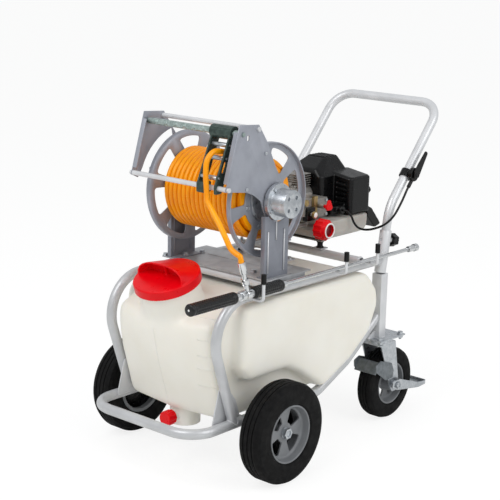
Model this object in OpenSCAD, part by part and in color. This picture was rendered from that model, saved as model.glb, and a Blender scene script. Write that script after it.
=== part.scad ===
// Wheeled sprayer cart: a tank in a tube frame on two wheels and two braked casters,
// with an engine pump, a hose reel with a traverse screw, and a spray lance in hooks.
// Millimetres, +Z up, +X toward the push handle, lance side at -Y.

/* [Wheels] */
// Outside diameter of the main wheels
wheel_d = 250; // [240:2:256]
// Width of the main tyres
tyre_w = 64; // [56:1:66]
// Diameter of the main rims
rim_d = 144; // [130:1:150]
// Distance between the main wheel centres
track = 504; // [500:2:520]
// Diameter of the main axle
axle_d = 16; // [14:1:18]
// Outside diameter of the caster wheels
caster_d = 196; // [188:2:200]
// Width of the caster wheels
caster_w = 50; // [44:1:50]
// Distance that the caster wheel trails its swivel
caster_trail = 36; // [30:1:40]

/* [Frame] */
// Outside diameter of the frame tubes
tube_d = 25; // [24:0.5:26]
// Wall of the frame tubes
tube_wall = 2; // [1.2:0.1:3]
// Distance between the side tubes, centre to centre
frame_w = 350; // [350:2:370]
// Outside diameter of the cross tubes
cross_d = 22; // [20:0.5:22]
// Front end of the lower loop, forward of the axle
loop_front = 227; // [215:1:235]
// Thickness of the frame's flat plates
plate_t = 3; // [2:0.5:4]

/* [Handle] */
// Outside diameter of the handle tube
handle_d = 24; // [22:0.5:25]
// Travel of the handle in its sleeves
handle_travel = 80; // [40:5:80]
// Diameter of the star clamp knobs
clamp_d = 36; // [30:1:40]

/* [Tank] */
// Wall of the tank
tank_wall = 4.5; // [3:0.5:6]
// Gap between the tank's core and the side tubes
tank_side_gap = 4.5; // [4:0.5:12]
// Reach of the tank's side bulges beyond the middle of the side tubes
bulge_over = 27; // [20:1:28]
// Outside diameter of the lid's skirt
lid_d = 164; // [160:1:168]
// Thickness of the lid's skirt
lid_wall = 6.8; // [5:0.2:9]
// Outside diameter of the drain cap
drain_d = 38; // [34:1:42]

/* [Reel] */
// Outside diameter of the drum discs
disc_d = 280; // [260:2:290]
// Depth of the rolled lip of a disc
disc_lip = 15; // [10:1:15]
// Number of windows in a disc
disc_windows = 7; // [5:1:8]
// Diameter of the drum shaft
shaft_d = 20; // [16:1:24]
// Outside diameter of the hose
hose_d = 13.4; // [12:0.2:13.8]
// Number of loops in the outer hose layer
hose_loops = 17; // [12:1:17]
// Outside diameter of the traverse screw
screw_d = 16; // [14:0.5:18]
// Depth of the traverse screw's grooves
groove = 1.8; // [1:0.1:2.4]
// Diameter of the two guide rods
rod_d = 12; // [10:0.5:13]

/* [Lance] */
// Diameter of the lance's grips
grip_d = 29; // [26:0.5:30]
// Diameter of the lance tube
lance_d = 10; // [8:0.5:12]
// Diameter of the hook rods
hook_d = 8; // [6:0.5:9]

/* [Engine] */
// Diameter of the pressure knob
knob_d = 56; // [46:1:58]
// Thickness of the deck plates
deck_t = 3; // [2:0.5:4]
// Diameter of the rubber mounts
mount_d = 22; // [18:1:24]

/* [Hidden] */
$fn = 48;

seat = 0.3;           // gap between two curved faces that seat on each other
hair = 0.02;          // hairline between the lengths of a bent tube
run_fit = 0.05;       // radial gap of a shaft in its bore
axle_x = -230;        // the main axle, from the middle of the footprint
half_w = frame_w / 2;
tube_r = tube_d / 2;
tank_half = half_w - tube_r - tank_side_gap;   // half the width of the tank's core
bulge_half = half_w + bulge_over;              // half the width over its bulges
neck_d = lid_d - 2 * (lid_wall + 0.7);         // the filler neck, with room for the lid
bracket_y = half_w + tube_r + 5.5;             // just outside the outer axle brackets
spacer_w = 22.7;                               // sleeve between the brackets and a hub
loop_z = 148;         // the lower loop, in the frame's own heights
rail_z = 452;         // the top rails, in the frame's own heights
axle_gap = 2.5;       // between the axle and the loop above it
axle_z = wheel_d / 2;
rise = axle_z + axle_d / 2 + axle_gap + tube_r - loop_z;   // lifts the frame onto the axle
loop_bend = 70;
rail_low = [[0, loop_z], [225, loop_z], [345, loop_z + 56], [476, loop_z + 151]];
rail_bend = 80;
arch_path = [[400, rail_z], [-191, rail_z], [-96, 171]];
arch_bend = 97;

// column and sleeve at the handle
lean = 9.3;           // lean of the sleeves from the vertical
knee = [510, 587];    // where the handle's legs bend
leg_dir = [sin(lean), cos(lean)];
sleeve_d = handle_d + 7;
sleeve_lo = 418;
sleeve_hi = 528;
column_w = 28;
column_x = 484;
column_top = 415;
caster_top = 240;     // top of the caster plates, in the frame's own heights
caster_x = 505;
caster_y = half_w - 10;
leg_gap = caster_w / 2 + 4;   // inner face of a fork leg from the caster's middle
leg_t = 4;
shoe_pin = [12, 52];  // brake shoe pin from the swivel and above the caster axle

// reel
reel = [92, 656];
disc_near = -102;     // hose side of the near disc
disc_far = 146.5;     // hose side of the far disc
disc_t = 2.5;
pitch = (disc_far - disc_near) / (hose_loops + 0.02);
core_r = 86;          // the hidden layers of hose
wind_r = (core_r + hose_d / 2 + seat) / cos(7.5);   // centre line of the outer hose layer
hose_gate = [-46, 785];   // where the hose passes the carriage's rollers
wind_start = atan2(hose_gate.y - reel.y, hose_gate.x - reel.x) - acos(wind_r / norm(hose_gate - reel));
barrel_r = 55;
wing_near_y = -133;   // inner face of the near wing plate
wing_far_y = 176;     // inner face of the far wing plate
screw = [-29, 828];
rod_up = [24, 836];
rod_low = [-78, 704];
carriage_y = -77;
deck_z = rail_z + 6 + cross_d / 2 + seat;   // underside of the reel base plate
cross_z = rail_z + 6;
cross_x = [53, 408];
lance = [-half_w - 32, 472];  // y and z of the lance

function unit(v) = v / norm(v);
function turned(v, a) = [v.x * cos(a) - v.y * sin(a), v.x * sin(a) + v.y * cos(a)];
function arc(c, r, a0, a1, n = 6) = [for (i = [0 : n])
    c + r * [cos(a0 + (a1 - a0) * i / n), sin(a0 + (a1 - a0) * i / n)]];
// a closed outline with its corners rounded to radius r, or to one radius for each corner
function rounded(p, r, n = 4) = [for (i = [0 : len(p) - 1]) let (
    c = is_list(r) ? r[i] : r, b = p[i],
    u = unit(p[(i + len(p) - 1) % len(p)] - b), v = unit(p[(i + 1) % len(p)] - b), half = acos(u * v) / 2,
    o = b + unit(u + v) * c / sin(half), s = b + u * c / tan(half) - o, e = b + v * c / tan(half) - o,
    sweep = atan2(s.x * e.y - s.y * e.x, s * e)) for (k = [0 : c > 0 ? n : 0])
        c > 0 ? o + turned(s, sweep * k / n) : b];
// a rounded window between two radii, a degrees to each side of +X
function window(a, r0, r1, c) = let (a1 = a - asin(c / (r1 - c)), a2 = a - asin(c / (r0 + c)),
    half = concat(arc((r1 - c) * [cos(a1), sin(a1)], c, a1, a + 90, 3),
        arc((r0 + c) * [cos(a2), sin(a2)], c, a + 90, a2 + 180, 3)))
    concat(half, arc([0, 0], r0, a2, -a2, 4), [for (i = [len(half) - 1 : -1 : 0]) [half[i].x, -half[i].y]],
        arc([0, 0], r1, -a1, a1, 6));

module at_cart() translate([axle_x, 0, rise]) children();
module at_floor() translate([axle_x, 0, 0]) children();
// an outline in x and z, as a plate from y to y + t
module side_plate(p, y, t) translate([0, y + t, 0]) rotate([90, 0, 0]) linear_extrude(t) polygon(p);
module bar_y(at, y0, y1, d) translate([at.x, y0, at.y]) rotate([-90, 0, 0]) cylinder(d = d, h = y1 - y0);
module bar_x(x0, x1, y, z, d) translate([x0, y, z]) rotate([0, 90, 0]) cylinder(d = d, h = x1 - x0);
module ring(d, w) {
    difference() {
        circle(d = d);
        if (w > 0) circle(d = d - 2 * w);
    }
}
module straight(a, b, d, w) translate([a.x, 0, a.y]) rotate([0, 90 - atan2(b.y - a.y, b.x - a.x), 0])
    linear_extrude(norm(b - a)) ring(d, w);
// a bent tube along points in x and z; w = 0 makes it a solid rod, and a hairline parts each length from the next
module tube_run(p, r, d, w) {
    n = len(p);
    dirs = [for (i = [0 : n - 2]) unit(p[i + 1] - p[i])];
    turn = [for (i = [0 : n - 1]) i == 0 || i == n - 1 ? 0 :
        atan2(dirs[i - 1].x * dirs[i].y - dirs[i - 1].y * dirs[i].x, dirs[i - 1] * dirs[i])];
    for (i = [0 : n - 2]) {
        a = p[i] + dirs[i] * r * abs(tan(turn[i] / 2));
        b = p[i + 1] - dirs[i] * r * abs(tan(turn[i + 1] / 2));
        straight(a + dirs[i] * hair, b - dirs[i] * hair, d, w);
        if (turn[i + 1] != 0)
            translate([b.x, 0, b.y]) rotate([90, 0, 0]) rotate([0, 0, atan2(dirs[i].y, dirs[i].x)])
                translate([0, sign(turn[i + 1]) * r])
                    rotate([0, 0, turn[i + 1] > 0 ? -90 : 90 + turn[i + 1]])
                        rotate_extrude(angle = abs(turn[i + 1]), $fn = 96) translate([r, 0]) ring(d, w);
    }
}
// a round tube of triangles along points, with m sides
function frame_x(t) = unit(abs(t.z) > 0.9 ? cross(t, [0, 1, 0]) : cross(t, [0, 0, 1]));
module swept(p, d, m = 8) {
    n = len(p);
    t = [for (i = [0 : n - 1]) unit(p[min(i + 1, n - 1)] - p[max(i - 1, 0)])];
    v = [for (i = [0 : n - 1]) let (u = frame_x(t[i]), w = cross(t[i], u)) for (j = [0 : m - 1])
        p[i] + d / 2 * (u * cos(360 * j / m) + w * sin(360 * j / m))];
    side = [for (i = [0 : n - 2]) for (j = [0 : m - 1]) let (a = i * m + j, b = i * m + (j + 1) % m)
        each [[a, b, a + m], [b, b + m, a + m]]];
    ends = concat([for (j = [1 : m - 2]) [0, j + 1, j]],
        [for (j = [1 : m - 2]) [(n - 1) * m, (n - 1) * m + j, (n - 1) * m + j + 1]]);
    polyhedron(v, concat([for (f = side) [f[0], f[2], f[1]]], [for (f = ends) [f[0], f[2], f[1]]]));
}
// points along a smooth line through p, k steps to each stretch
function smooth(p, k) = [for (i = [0 : len(p) - 2])
    let (a = p[max(i - 1, 0)], b = p[i], c = p[i + 1], d = p[min(i + 2, len(p) - 1)])
    for (j = [0 : k - (i == len(p) - 2 ? 0 : 1)]) let (t = j / k)
    0.5 * (2 * b + t * (c - a) + t * t * (2 * a - 5 * b + 4 * c - d) + t * t * t
        * (3 * b - a - 3 * c + d))];

// ---------- frame ----------
module base_loop() at_cart() color("silver") {
    translate([0, 0, loop_z]) rotate([90, 0, 0])
        tube_run([[0, -half_w], [-loop_front, -half_w], [-loop_front, half_w], [0, half_w]], loop_bend,
            tube_d, tube_wall);
    rail_end = rail_low[2] + 75 * unit(rail_low[3] - rail_low[2]);
    for (s = [-1, 1]) translate([0, s * half_w, 0]) {
        tube_run([rail_low[0], rail_low[1], rail_low[2], rail_end], rail_bend, tube_d, tube_wall);
        difference() {
            straight(rail_end, rail_low[3] + 20 * unit(rail_low[3] - rail_low[2]), tube_d, tube_wall);
            translate([column_x - column_w / 2 - seat, -50, loop_z]) cube([100, 100, 300]);
        }
    }
}

module sleeve_bar(d, lo, hi) translate([knee.x, 0, knee.y]) rotate([0, lean, 0])
    translate([0, 0, (lo - knee.y) / cos(lean)]) cylinder(d = d, h = (hi - lo) / cos(lean));

module side_arches() at_cart() color("silver") for (s = [-1, 1]) translate([0, s * half_w, 0]) {
    foot = arch_path[2] + 22 * unit(arch_path[2] - arch_path[1]);
    difference() {
        straight([480, rail_z], arch_path[0], tube_d, tube_wall);
        sleeve_bar(sleeve_d + 2 * seat, sleeve_lo, sleeve_hi);
        translate([column_x, -50, sleeve_lo]) cube(100);
    }
    tube_run(arch_path, arch_bend, tube_d, tube_wall);
    difference() {
        straight(arch_path[2], foot, tube_d, tube_wall);
        bar_x(-200, 0, 0, loop_z, tube_d + 2 * seat);
    }
}

module frame_plates() at_cart() color("silver") {
    for (s = [-1, 1]) {
        side_plate(rounded([[-148, 150], [-48, 150], [-66, 200], [-98, 240], [-124, 240]], 5),
            s * (half_w - tube_r - seat - plate_t / 2) - plate_t / 2, plate_t);
    }
    for (x = [60, 180])
        translate([x - 20, -(half_w - tube_r - seat), loop_z - 1.5])
            cube([40, frame_w - tube_d - 2 * seat, 4]);
}

module cross_tubes() at_cart() color("silver") for (x = cross_x) difference() {
    translate([x, half_w - 8, cross_z]) rotate([90, 0, 0]) linear_extrude(frame_w - 16)
        ring(cross_d, tube_wall);
    for (s = [-1, 1]) bar_x(x - 40, x + 40, s * half_w, rail_z, tube_d + 2 * seat);
}

module rear_columns() at_cart() color("silver") for (s = [-1, 1]) translate([0, s * half_w, 0]) {
    difference() {
        translate([column_x - column_w / 2, -15, caster_top]) cube([column_w, 30, column_top - caster_top]);
        translate([column_x - column_w / 2 + 2.5, -12.5, caster_top - 1])
            cube([column_w - 5, 25, column_top - caster_top - 2]);
    }
    difference() {
        sleeve_bar(sleeve_d, sleeve_lo, sleeve_hi);
        sleeve_bar(handle_d + 2 * run_fit, sleeve_lo - 5, sleeve_hi + 5);
        clamp_place() translate([0, 0, -30]) cylinder(d = 8 + 2 * run_fit, h = 60);
    }
    clamp_place() difference() {
        cylinder(d = 16, h = 8 + sleeve_d / 2);
        translate([0, 0, -1]) cylinder(d = 8 + 2 * run_fit, h = 40);
        rotate([0, -90, 0]) cylinder(d = sleeve_d + 0.02, h = 60, center = true);
    }
    side_plate(rounded([[column_x - 50, caster_top + 0.1],
        [column_x - column_w / 2 - 0.1, caster_top + 0.1],
        [column_x - column_w / 2 - 0.1, caster_top + 22]], 3), -plate_t / 2, plate_t);
}
// frame of a clamp screw: +Z points away from the sleeve, toward +X
module clamp_place() {
    z = 503;
    translate([knee.x + (z - knee.y) * tan(lean), 0, z]) rotate([0, 90 + lean, 0]) children();
}

module axle() at_floor() color("lightgray") {
    bar_y([0, axle_z], -(track / 2 + 20), track / 2 + 20, axle_d);
    for (s = [-1, 1]) mirror([0, s < 0 ? 0 : 1, 0]) {
        difference() {
            bar_y([0, axle_z], -(bracket_y + spacer_w), -bracket_y, axle_d + 12);
            bar_y([0, axle_z], -track, 0, axle_d);
        }
        difference() {
            union() {
                bar_y([0, axle_z], -(track / 2 + 13.3), -(track / 2 + 10.3), axle_d + 11);
                translate([0, -(track / 2 + 23), axle_z]) rotate([-90, 0, 0])
                    cylinder(d = axle_d + 12, h = 9.7, $fn = 6);
            }
            bar_y([0, axle_z], -track, 0, axle_d);
        }
    }
}

module axle_brackets() at_floor() color("silver") for (s = [-1, 1]) for (k = [-1, 1]) difference() {
    side_plate(rounded([[-22, axle_z - 14], [22, axle_z - 14], [26, axle_z + 36], [-26, axle_z + 36]], 6),
        s * half_w + k * (tube_r + seat + 2) - 2, 4);
    bar_y([0, axle_z], -track, track, axle_d + 0.2);
}

// ---------- wheels ----------
module tyre(r, w, rim) color([0.12, 0.12, 0.12]) rotate([90, 0, 0]) rotate_extrude($fn = 96) polygon([
    [rim, -w / 2 + 4], [rim + 5, -w / 2 + 0.6], [r * 0.76, -w / 2], [r * 0.9, -w / 2 + 1],
        [r * 0.97, -w / 2 + 5],
    [r, -w / 2 + 13], [r, -w / 5 - 1.6], [r - 2.2, -w / 5 - 1], [r - 2.2, -w / 5 + 1], [r, -w / 5 + 1.6],
    [r, -1.6], [r - 2.2, -1], [r - 2.2, 1], [r, 1.6], [r, w / 5 - 1.6], [r - 2.2, w / 5 - 1],
        [r - 2.2, w / 5 + 1],
    [r, w / 5 + 1.6], [r, w / 2 - 13], [r * 0.97, w / 2 - 5], [r * 0.9, w / 2 - 1], [r * 0.76, w / 2],
    [rim + 5, w / 2 - 0.6], [rim, w / 2 - 4]]);

// a rim with four flared spokes; the web lies from w1 to w1 + 6, the boss from b0 to b1, along +Y outward
module hub(rim, w, bore, w1, b0, b1) color("gray") rotate([-90, 0, 0]) difference() {
    rotate_extrude($fn = 96) polygon([[bore / 2, b0], [bore / 2 + 12, b0], [bore / 2 + 14, w1],
        [rim - 9, w1],
        [rim - 9, -w / 2 + 3], [rim - 0.1, -w / 2 + 2], [rim - 0.1, w / 2 - 2], [rim - 4, w / 2 - 2],
            [rim - 8, w1 + 9],
        [rim - 12, w1 + 6], [bore / 2 + 15, w1 + 6], [bore / 2 + 13, b1], [bore / 2, b1]]);
    for (k = [0 : 3]) rotate([0, 0, 45 + 90 * k]) translate([0, 0, w1 - 3]) linear_extrude(12)
        polygon(window(24, bore / 2 + 17, rim - 13, 3));
}

module main_tyre(s) at_floor() translate([0, s * track / 2, axle_z]) tyre(wheel_d / 2, tyre_w, rim_d / 2);
module main_hub(s) at_floor() translate([0, s * track / 2, axle_z]) mirror([0, s < 0 ? 1 : 0, 0])
    hub(rim_d / 2, tyre_w, axle_d + 2 * run_fit, 4, bracket_y + spacer_w + seat - track / 2, 10);
module tyre_near() main_tyre(-1);
module hub_near() main_hub(-1);
module tyre_far() main_tyre(1);
module hub_far() main_hub(1);

// ---------- casters, drawn from the swivel axis on the floor ----------
module at_caster(s) translate([axle_x + caster_x, s * caster_y, 0]) children();
crown_z = caster_top + rise - 18;
caster_z = caster_d / 2;
bolt_d = 12;

module caster_plates() color("lightsteelblue") for (s = [-1, 1]) at_caster(s) {
    difference() {
        union() {
            translate([-55, -47.5, crown_z + 14]) cube([110, 95, 4]);
            translate([0, 0, crown_z + seat]) cylinder(d1 = 80, d2 = 72, h = 14 - seat, $fn = 96);
        }
        for (x = [-45, 45]) for (y = [-38, 38]) translate([x, y, 0]) cylinder(d = 9, h = 500);
    }
    translate([0, 0, crown_z - 10]) cylinder(d = 12, h = 12);
    translate([0, 0, crown_z - 10]) cylinder(d = 24, h = 6 - seat);
}

module caster_fork(s) at_caster(s) color("lightsteelblue") {
    difference() {
        union() {
            translate([0, 0, crown_z - 4]) linear_extrude(4)
                polygon(rounded([[-36, -leg_gap - leg_t], [34, -leg_gap - leg_t],
                    [34, leg_gap + leg_t], [-36, leg_gap + leg_t]], 3));
            for (k = [-1, 1]) side_plate(rounded([[-33, crown_z - 1], [33, crown_z - 1],
                [caster_trail + 20, caster_z - 4],
                [caster_trail + 10, caster_z - 19], [caster_trail - 10, caster_z - 19],
                    [caster_trail - 20, caster_z - 4]], [1, 1, 8, 8, 8, 8]),
                k * (leg_gap + leg_t / 2) - leg_t / 2, leg_t);
        }
        translate([0, 0, crown_z - 20]) cylinder(d = 12 + 2 * run_fit, h = 40);
        bar_y([caster_trail, caster_z], -60, 60, bolt_d + 0.1);
        bar_y(shoe_pin + [0, caster_z], -60, 60, 8 + 2 * run_fit);
    }
    bar_y([caster_trail, caster_z], -leg_gap - 19, leg_gap + 19, bolt_d);
    for (k = [0, 1]) mirror([0, k, 0]) translate([0, leg_gap + leg_t + 0.2, 0]) difference() {
        union() {
            bar_y([caster_trail, caster_z], 0, 7.2, bolt_d + 8);
            translate([caster_trail, 11.3, caster_z]) rotate([-90, 0, 0])
                cylinder(d = bolt_d + 8, h = 5, $fn = 6);
        }
        bar_y([caster_trail, caster_z], -1, 20, bolt_d);
    }
}

module caster_tyre(s) at_caster(s) translate([caster_trail, 0, caster_z])
    tyre(caster_z, caster_w, caster_d * 0.295);
module caster_hub(s) at_caster(s) translate([caster_trail, 0, caster_z]) mirror([0, s < 0 ? 1 : 0, 0])
    hub(caster_d * 0.295, caster_w, bolt_d + 2 * run_fit, -3, -leg_gap + 0.5, leg_gap - 0.5);

// side arms on the axle bolt, joined by a tread behind the tyre
module brake_pedal(s) at_caster(s) color("lightsteelblue") {
    tip = caster_trail + caster_d / 2 + 4;
    y0 = leg_gap + leg_t + 7.8;
    for (k = [-1, 1]) difference() {
        side_plate(rounded([[caster_trail - 20, caster_z + 13], [caster_trail - 22, caster_z - 4],
            [caster_trail, caster_z - 15],
            [tip, caster_z - 32], [tip + 34, caster_z - 30], [tip + 34, caster_z - 20],
                [tip, caster_z - 18],
            [caster_trail + 12, caster_z + 14]], 4), k * (y0 + 1.5) - 1.5, 3);
        bar_y([caster_trail, caster_z], -90, 90, bolt_d + 2 * run_fit);
    }
    translate([tip, -y0 - 3, caster_z - 29]) cube([34, 2 * y0 + 6, 3]);
    translate([tip + 31, -y0 - 3, caster_z - 29]) cube([3, 2 * y0 + 6, 12]);
}

// a channel across the tyre on two side arms, pinned to the fork legs
module brake_shoe(s) at_caster(s) color("lightsteelblue") {
    y0 = leg_gap + leg_t + 1;
    translate([caster_trail, 0, caster_z]) rotate([90, 0, 0]) rotate([0, 0, 133])
        rotate_extrude(angle = 20, $fn = 96) translate([caster_d / 2 + 4, -y0 - 1]) square([3, 2 * y0 + 2]);
    for (k = [-1, 1]) {
        side_plate(rounded([[-58, caster_z + 74], [-56, caster_z + 55], [-10, caster_z + 22],
            [22, caster_z + 24],
            [24, caster_z + 44], [14, caster_z + 66], [-36, caster_z + 82]], 5), k * (y0 + 1.5) - 1.5, 3);
        bar_y(shoe_pin + [0, caster_z], k > 0 ? leg_gap - 1.5 : -y0 - 1,
            k > 0 ? y0 + 1 : -leg_gap + 1.5, 8);
    }
}
module caster_fork_near() caster_fork(-1);
module caster_tyre_near() caster_tyre(-1);
module caster_hub_near() caster_hub(-1);
module brake_pedal_near() brake_pedal(-1);
module brake_shoe_near() brake_shoe(-1);
module caster_fork_far() caster_fork(1);
module caster_tyre_far() caster_tyre(1);
module caster_hub_far() caster_hub(1);
module brake_pedal_far() brake_pedal(1);
module brake_shoe_far() brake_shoe(1);

// ---------- handle ----------
bar_at = [728, 840.7];
up_dir = unit(bar_at - knee);
module handle() at_cart() color("silver") {
    // its end stays in the sleeve
    low = knee - leg_dir * ((knee.y - sleeve_hi + handle_travel) / cos(lean) + 26);
    for (s = [-1, 1]) translate([0, s * half_w, 0])
        tube_run([low, knee, bar_at - 61 * up_dir], 120, handle_d, tube_wall);
    translate([bar_at.x, 0, bar_at.y]) rotate([0, -atan2(up_dir.y, up_dir.x), 0]) rotate([90, 0, 0])
        tube_run([[-61, -half_w], [0, -half_w], [0, half_w], [-61, half_w]], 60, handle_d, tube_wall);
}

module clamp_knob(s) at_cart() translate([0, s * half_w, 0]) clamp_place() color([0.15, 0.15, 0.15]) {
    translate([0, 0, handle_d / 2 + seat]) cylinder(d = 8, h = 20);
    translate([0, 0, sleeve_d / 2 + 8 + seat]) {
        cylinder(d = clamp_d - 6, h = 22);
        for (k = [0 : 5]) rotate([0, 0, 60 * k]) translate([clamp_d / 2 - 5, 0, 0])
            cylinder(d = 10, h = 20, $fn = 24);
    }
}
module clamp_knob_near() clamp_knob(-1);
module clamp_knob_far() clamp_knob(1);

// ---------- tank ----------
tank_r = 18;
seat_r = tube_r + 0.6 + tank_r;
function over_rail(a, p) = p + seat_r / cos(a[1] / 2) * [-sin(a[0]), cos(a[0])];
seat_1 = over_rail([12.5, 25], rail_low[1]);
seat_2 = over_rail([30.5, 11], rail_low[2]);
seat_3 = rail_low[2] + 93 * [0.81, 0.587] + seat_r * [-0.587, 0.81];
rear_line = [[431, 345], [426, 378], [392, 416]];
core_line = concat([[-137, 382], [-136, 331], [-124, 284], [-95, 181], [-90, 169], [195, 169], seat_1,
    seat_2, seat_3],
    rear_line, [[-56, 416]]);
nose_line = [[-167, 370], [-147, 286], [-113, 176], [-108, 169]];
arch_line = [[84, 268], [139, 244]];
bulge_front = concat([[-67, 395], [-67, 292], [-47, 268]], [arch_line[0]], [[84, 416], [-56, 416]]);
bulge_mid = [arch_line[0], arch_line[1], [139, 416], [84, 416]];
bulge_rear = concat([arch_line[1], [229, 185.5], seat_2, seat_3], rear_line, [[139, 416]]);

module tank_form(r) {
    hull() {
        for (p = core_line) for (s = [-1, 1]) translate([p.x, s * (tank_half - tank_r), p.y])
            sphere(r, $fn = 20);
        for (p = nose_line) translate([p.x, 0, p.y]) sphere(r, $fn = 20);
    }
    for (s = [-1, 1]) for (line = [bulge_front, bulge_mid, bulge_rear]) hull()
        for (p = line) for (y = [tank_half - 40, bulge_half - tank_r]) translate([p.x, s * y, p.y])
            sphere(r, $fn = 20);
}
lid_at = [-132, 467.5];
lid_tilt = 18.5;
lid_top = 23;         // the lid's flat top, above the end of its skirt
module at_lid() translate([lid_at.x, 0, lid_at.y]) rotate([0, -lid_tilt, 0]) children();

module tank() at_cart() color("ivory") difference() {
    difference() {
        union() {
            tank_form(tank_r);
            at_lid() translate([0, 0, -66]) cylinder(d = neck_d, h = 80, $fn = 64);
        }
        tank_form(tank_r - tank_wall);
    }
    at_lid() translate([0, 0, -80]) cylinder(d = neck_d - 12, h = 110, $fn = 64);
    translate([sump_x, 0, 100]) cylinder(d = 40, h = 60, $fn = 32);
}

sump_x = -70;
sump_d = 76;
module sump() at_cart() color("ivory") difference() {
    union() {
        translate([sump_x, 0, 105]) cylinder(d = sump_d, h = 46);
        bar_x(-126, sump_x, 0, 128, drain_d - 10);
    }
    translate([sump_x, 0, 110]) cylinder(d = sump_d - 11, h = 50);
    bar_x(-140, sump_x, 0, 128, drain_d - 20);
}

module drain_cap() at_cart() color("red") difference() {
    union() {
        bar_x(-142, -116, 0, 128, drain_d - 3);
        for (k = [0 : 11]) rotate_x_at(128, 30 * k) translate([-140, 0, drain_d / 2 - 2])
            rotate([0, 90, 0]) cylinder(d = 4, h = 22, $fn = 16);
    }
    bar_x(-127, -110, 0, 128, drain_d - 10 + 0.6);
}
module rotate_x_at(z, a) translate([0, 0, z]) rotate([a, 0, 0]) children();

// half a rounded arch of width 2 * w and height h, across and up
function arch(w, h) = [for (a = [0 : 15 : 180])
    [w * sign(cos(a)) * pow(abs(cos(a)), 0.77), h * pow(abs(sin(a)), 0.77)]];
module arch_slab(x, lean_back, w, h, t) translate([x, 0, lid_top - 0.5]) rotate([0, lean_back, 0])
    rotate([90, 0, 90]) linear_extrude(t) polygon(arch(w, h));
// a cap whose top rises from the back of its rim to an arched grip, open toward the front
module lid() at_cart() at_lid() color("red") {
    lid_r = lid_d / 2;
    difference() {
        union() {
            cylinder(d = lid_d, h = lid_top - 2);
            translate([0, 0, lid_top - 2]) cylinder(d1 = lid_d, d2 = lid_d - 4, h = 2);
            hull() {
                arch_slab(-24, 14, lid_r - 7, 39.5, 3);
                translate([0, 0, lid_top - 1.6]) linear_extrude(1)
                    polygon(arc([0, 0], lid_r - 3.2, -104, 104, 28));
            }
        }
        translate([0, 0, -1]) cylinder(d = lid_d - 2 * lid_wall, h = lid_top - 4);
        difference() {
            hull() {
                translate([0, 0, 0.8]) arch_slab(-25, 14, lid_r - 11, 35.5, 1);
                translate([0, 0, 0.8]) arch_slab(8, 0, lid_r - 24, 27, 1);
            }
            translate([0, -3, lid_top]) cube([20, 6, 60]);
        }
    }
}

// ---------- deck and reel frame ----------
post_x = [43, 131];
beads = [[11, 486, 588], [40, 565, 620], [70, 486, 588]];   // across the post, and from z to z
panel = [[136, -112], [198, 128]];   // the pressed panel of the base plate
module deck_plates() at_cart() color("lightgray") {
    inner = half_w - tube_r - seat;
    difference() {
        translate([40, -inner, deck_z]) cube([165, inner + 192, deck_t]);
        for (x = [70, 134]) translate([x, 8 - inner, deck_z - 1]) cylinder(d = 7, h = 10);
    }
    translate([204, -66, deck_z]) cube([58, 182, deck_t]);
    translate([panel[0].x, panel[0].y, deck_z + deck_t - 0.1]) linear_extrude(1.3)
        polygon(rounded([panel[0], [panel[1].x, panel[0].y], panel[1],
            [panel[0].x, panel[1].y]] - [for (k = [0 : 3]) panel[0]], 8));
    for (y = [rear_mounts[0].y, rear_mounts[1].y]) translate([cross_x[1] - 15, y - 15, deck_z])
        cube([30, 30, deck_t]);
    for (s = [-1, 1]) translate([72, s * (inner - 1.5) - 1.5, rail_z - 6])
        cube([110, 3, deck_z - rail_z + 6]);
}

// a channel with three beads, a foot flange and a top flange
module post(y_web, foot) {
    top = 625;
    z0 = deck_z + deck_t;
    depth = 12;
    w = post_x[1] - post_x[0];
    translate([post_x[0], y_web, z0]) linear_extrude(top - z0)
        polygon([[0, depth], [0, 0], [w, 0], [w, depth], [w - 2.5, depth], [w - 2.5, 2.5], [2.5, 2.5],
            [2.5, depth]]);
    for (b = beads) translate([post_x[0] + b[0], y_web, b[1]]) cylinder(d = 4.4, h = b[2] - b[1], $fn = 16);
    translate([post_x[0] + 3, foot > 0 ? y_web + 6 : y_web - 26, z0])
        cube([w - 6, foot > 0 ? 20 : 26, 2.5]);
}
module reel_posts() at_cart() color("gray") {
    difference() {
        post(wing_near_y - 3 - 12, 1);
        bar_y(reel, -300, 300, 96);
    }
    difference() {
        post(wing_far_y - 12, -1);
        bar_y(reel, -300, 300, 96);
    }
}

lobe = arc(reel, 46, 50, -160, 14);
near_line = concat([[-40, 851], [27, 846], [60, 800], [90, 741]], lobe,
    [[40, 662], [14, 680], [-12, 690], [-84, 700]]);
far_line = concat([[-40, 851], [27, 846], [60, 800], [104, 741]], lobe, [[70, 720], [62, 770]],
    arc(reel, 150, 104, 158, 8), [[-62, 690], [-84, 700]]);
module wing(line, y, dir) difference() {
    union() {
        side_plate(line, y, 3);
        translate([-84, dir > 0 ? y : y - 11, 700]) rotate([0, atan2(44, 151), 0])
            translate([0, 0, 18]) cube([2.5, 14, 122]);
    }
    bar_y(reel, -300, 300, shaft_d + 2 * run_fit);
    bar_y(screw, -300, 300, 10 + 2 * run_fit);
    for (p = [rod_up, rod_low]) bar_y(p, -300, 300, 6.4);
}
module wing_near() at_cart() color("silver") difference() {
    wing(near_line, wing_near_y - 3, 1);
    side_plate(rounded([[-14, 811], [-7, 811], [-7, 824], [-14, 824]], 3), wing_near_y - 10, 20);
}
module wing_far() at_cart() color("silver") wing(far_line, wing_far_y, -1);

module reel_rods() at_cart() color("lightgray") for (p = [rod_up, rod_low]) {
    bar_y(p, wing_near_y + seat, wing_far_y - seat, rod_d);
    bar_y(p, wing_near_y - 8, wing_far_y + 8, 6);
    for (y = [wing_near_y - 8.3, wing_far_y + 3.3]) translate([p.x, y, p.y]) rotate([-90, 0, 0])
        difference() {
        cylinder(d = 12, h = 5, $fn = 6);
        translate([0, 0, -1]) cylinder(d = 6, h = 8);
    }
}

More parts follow.
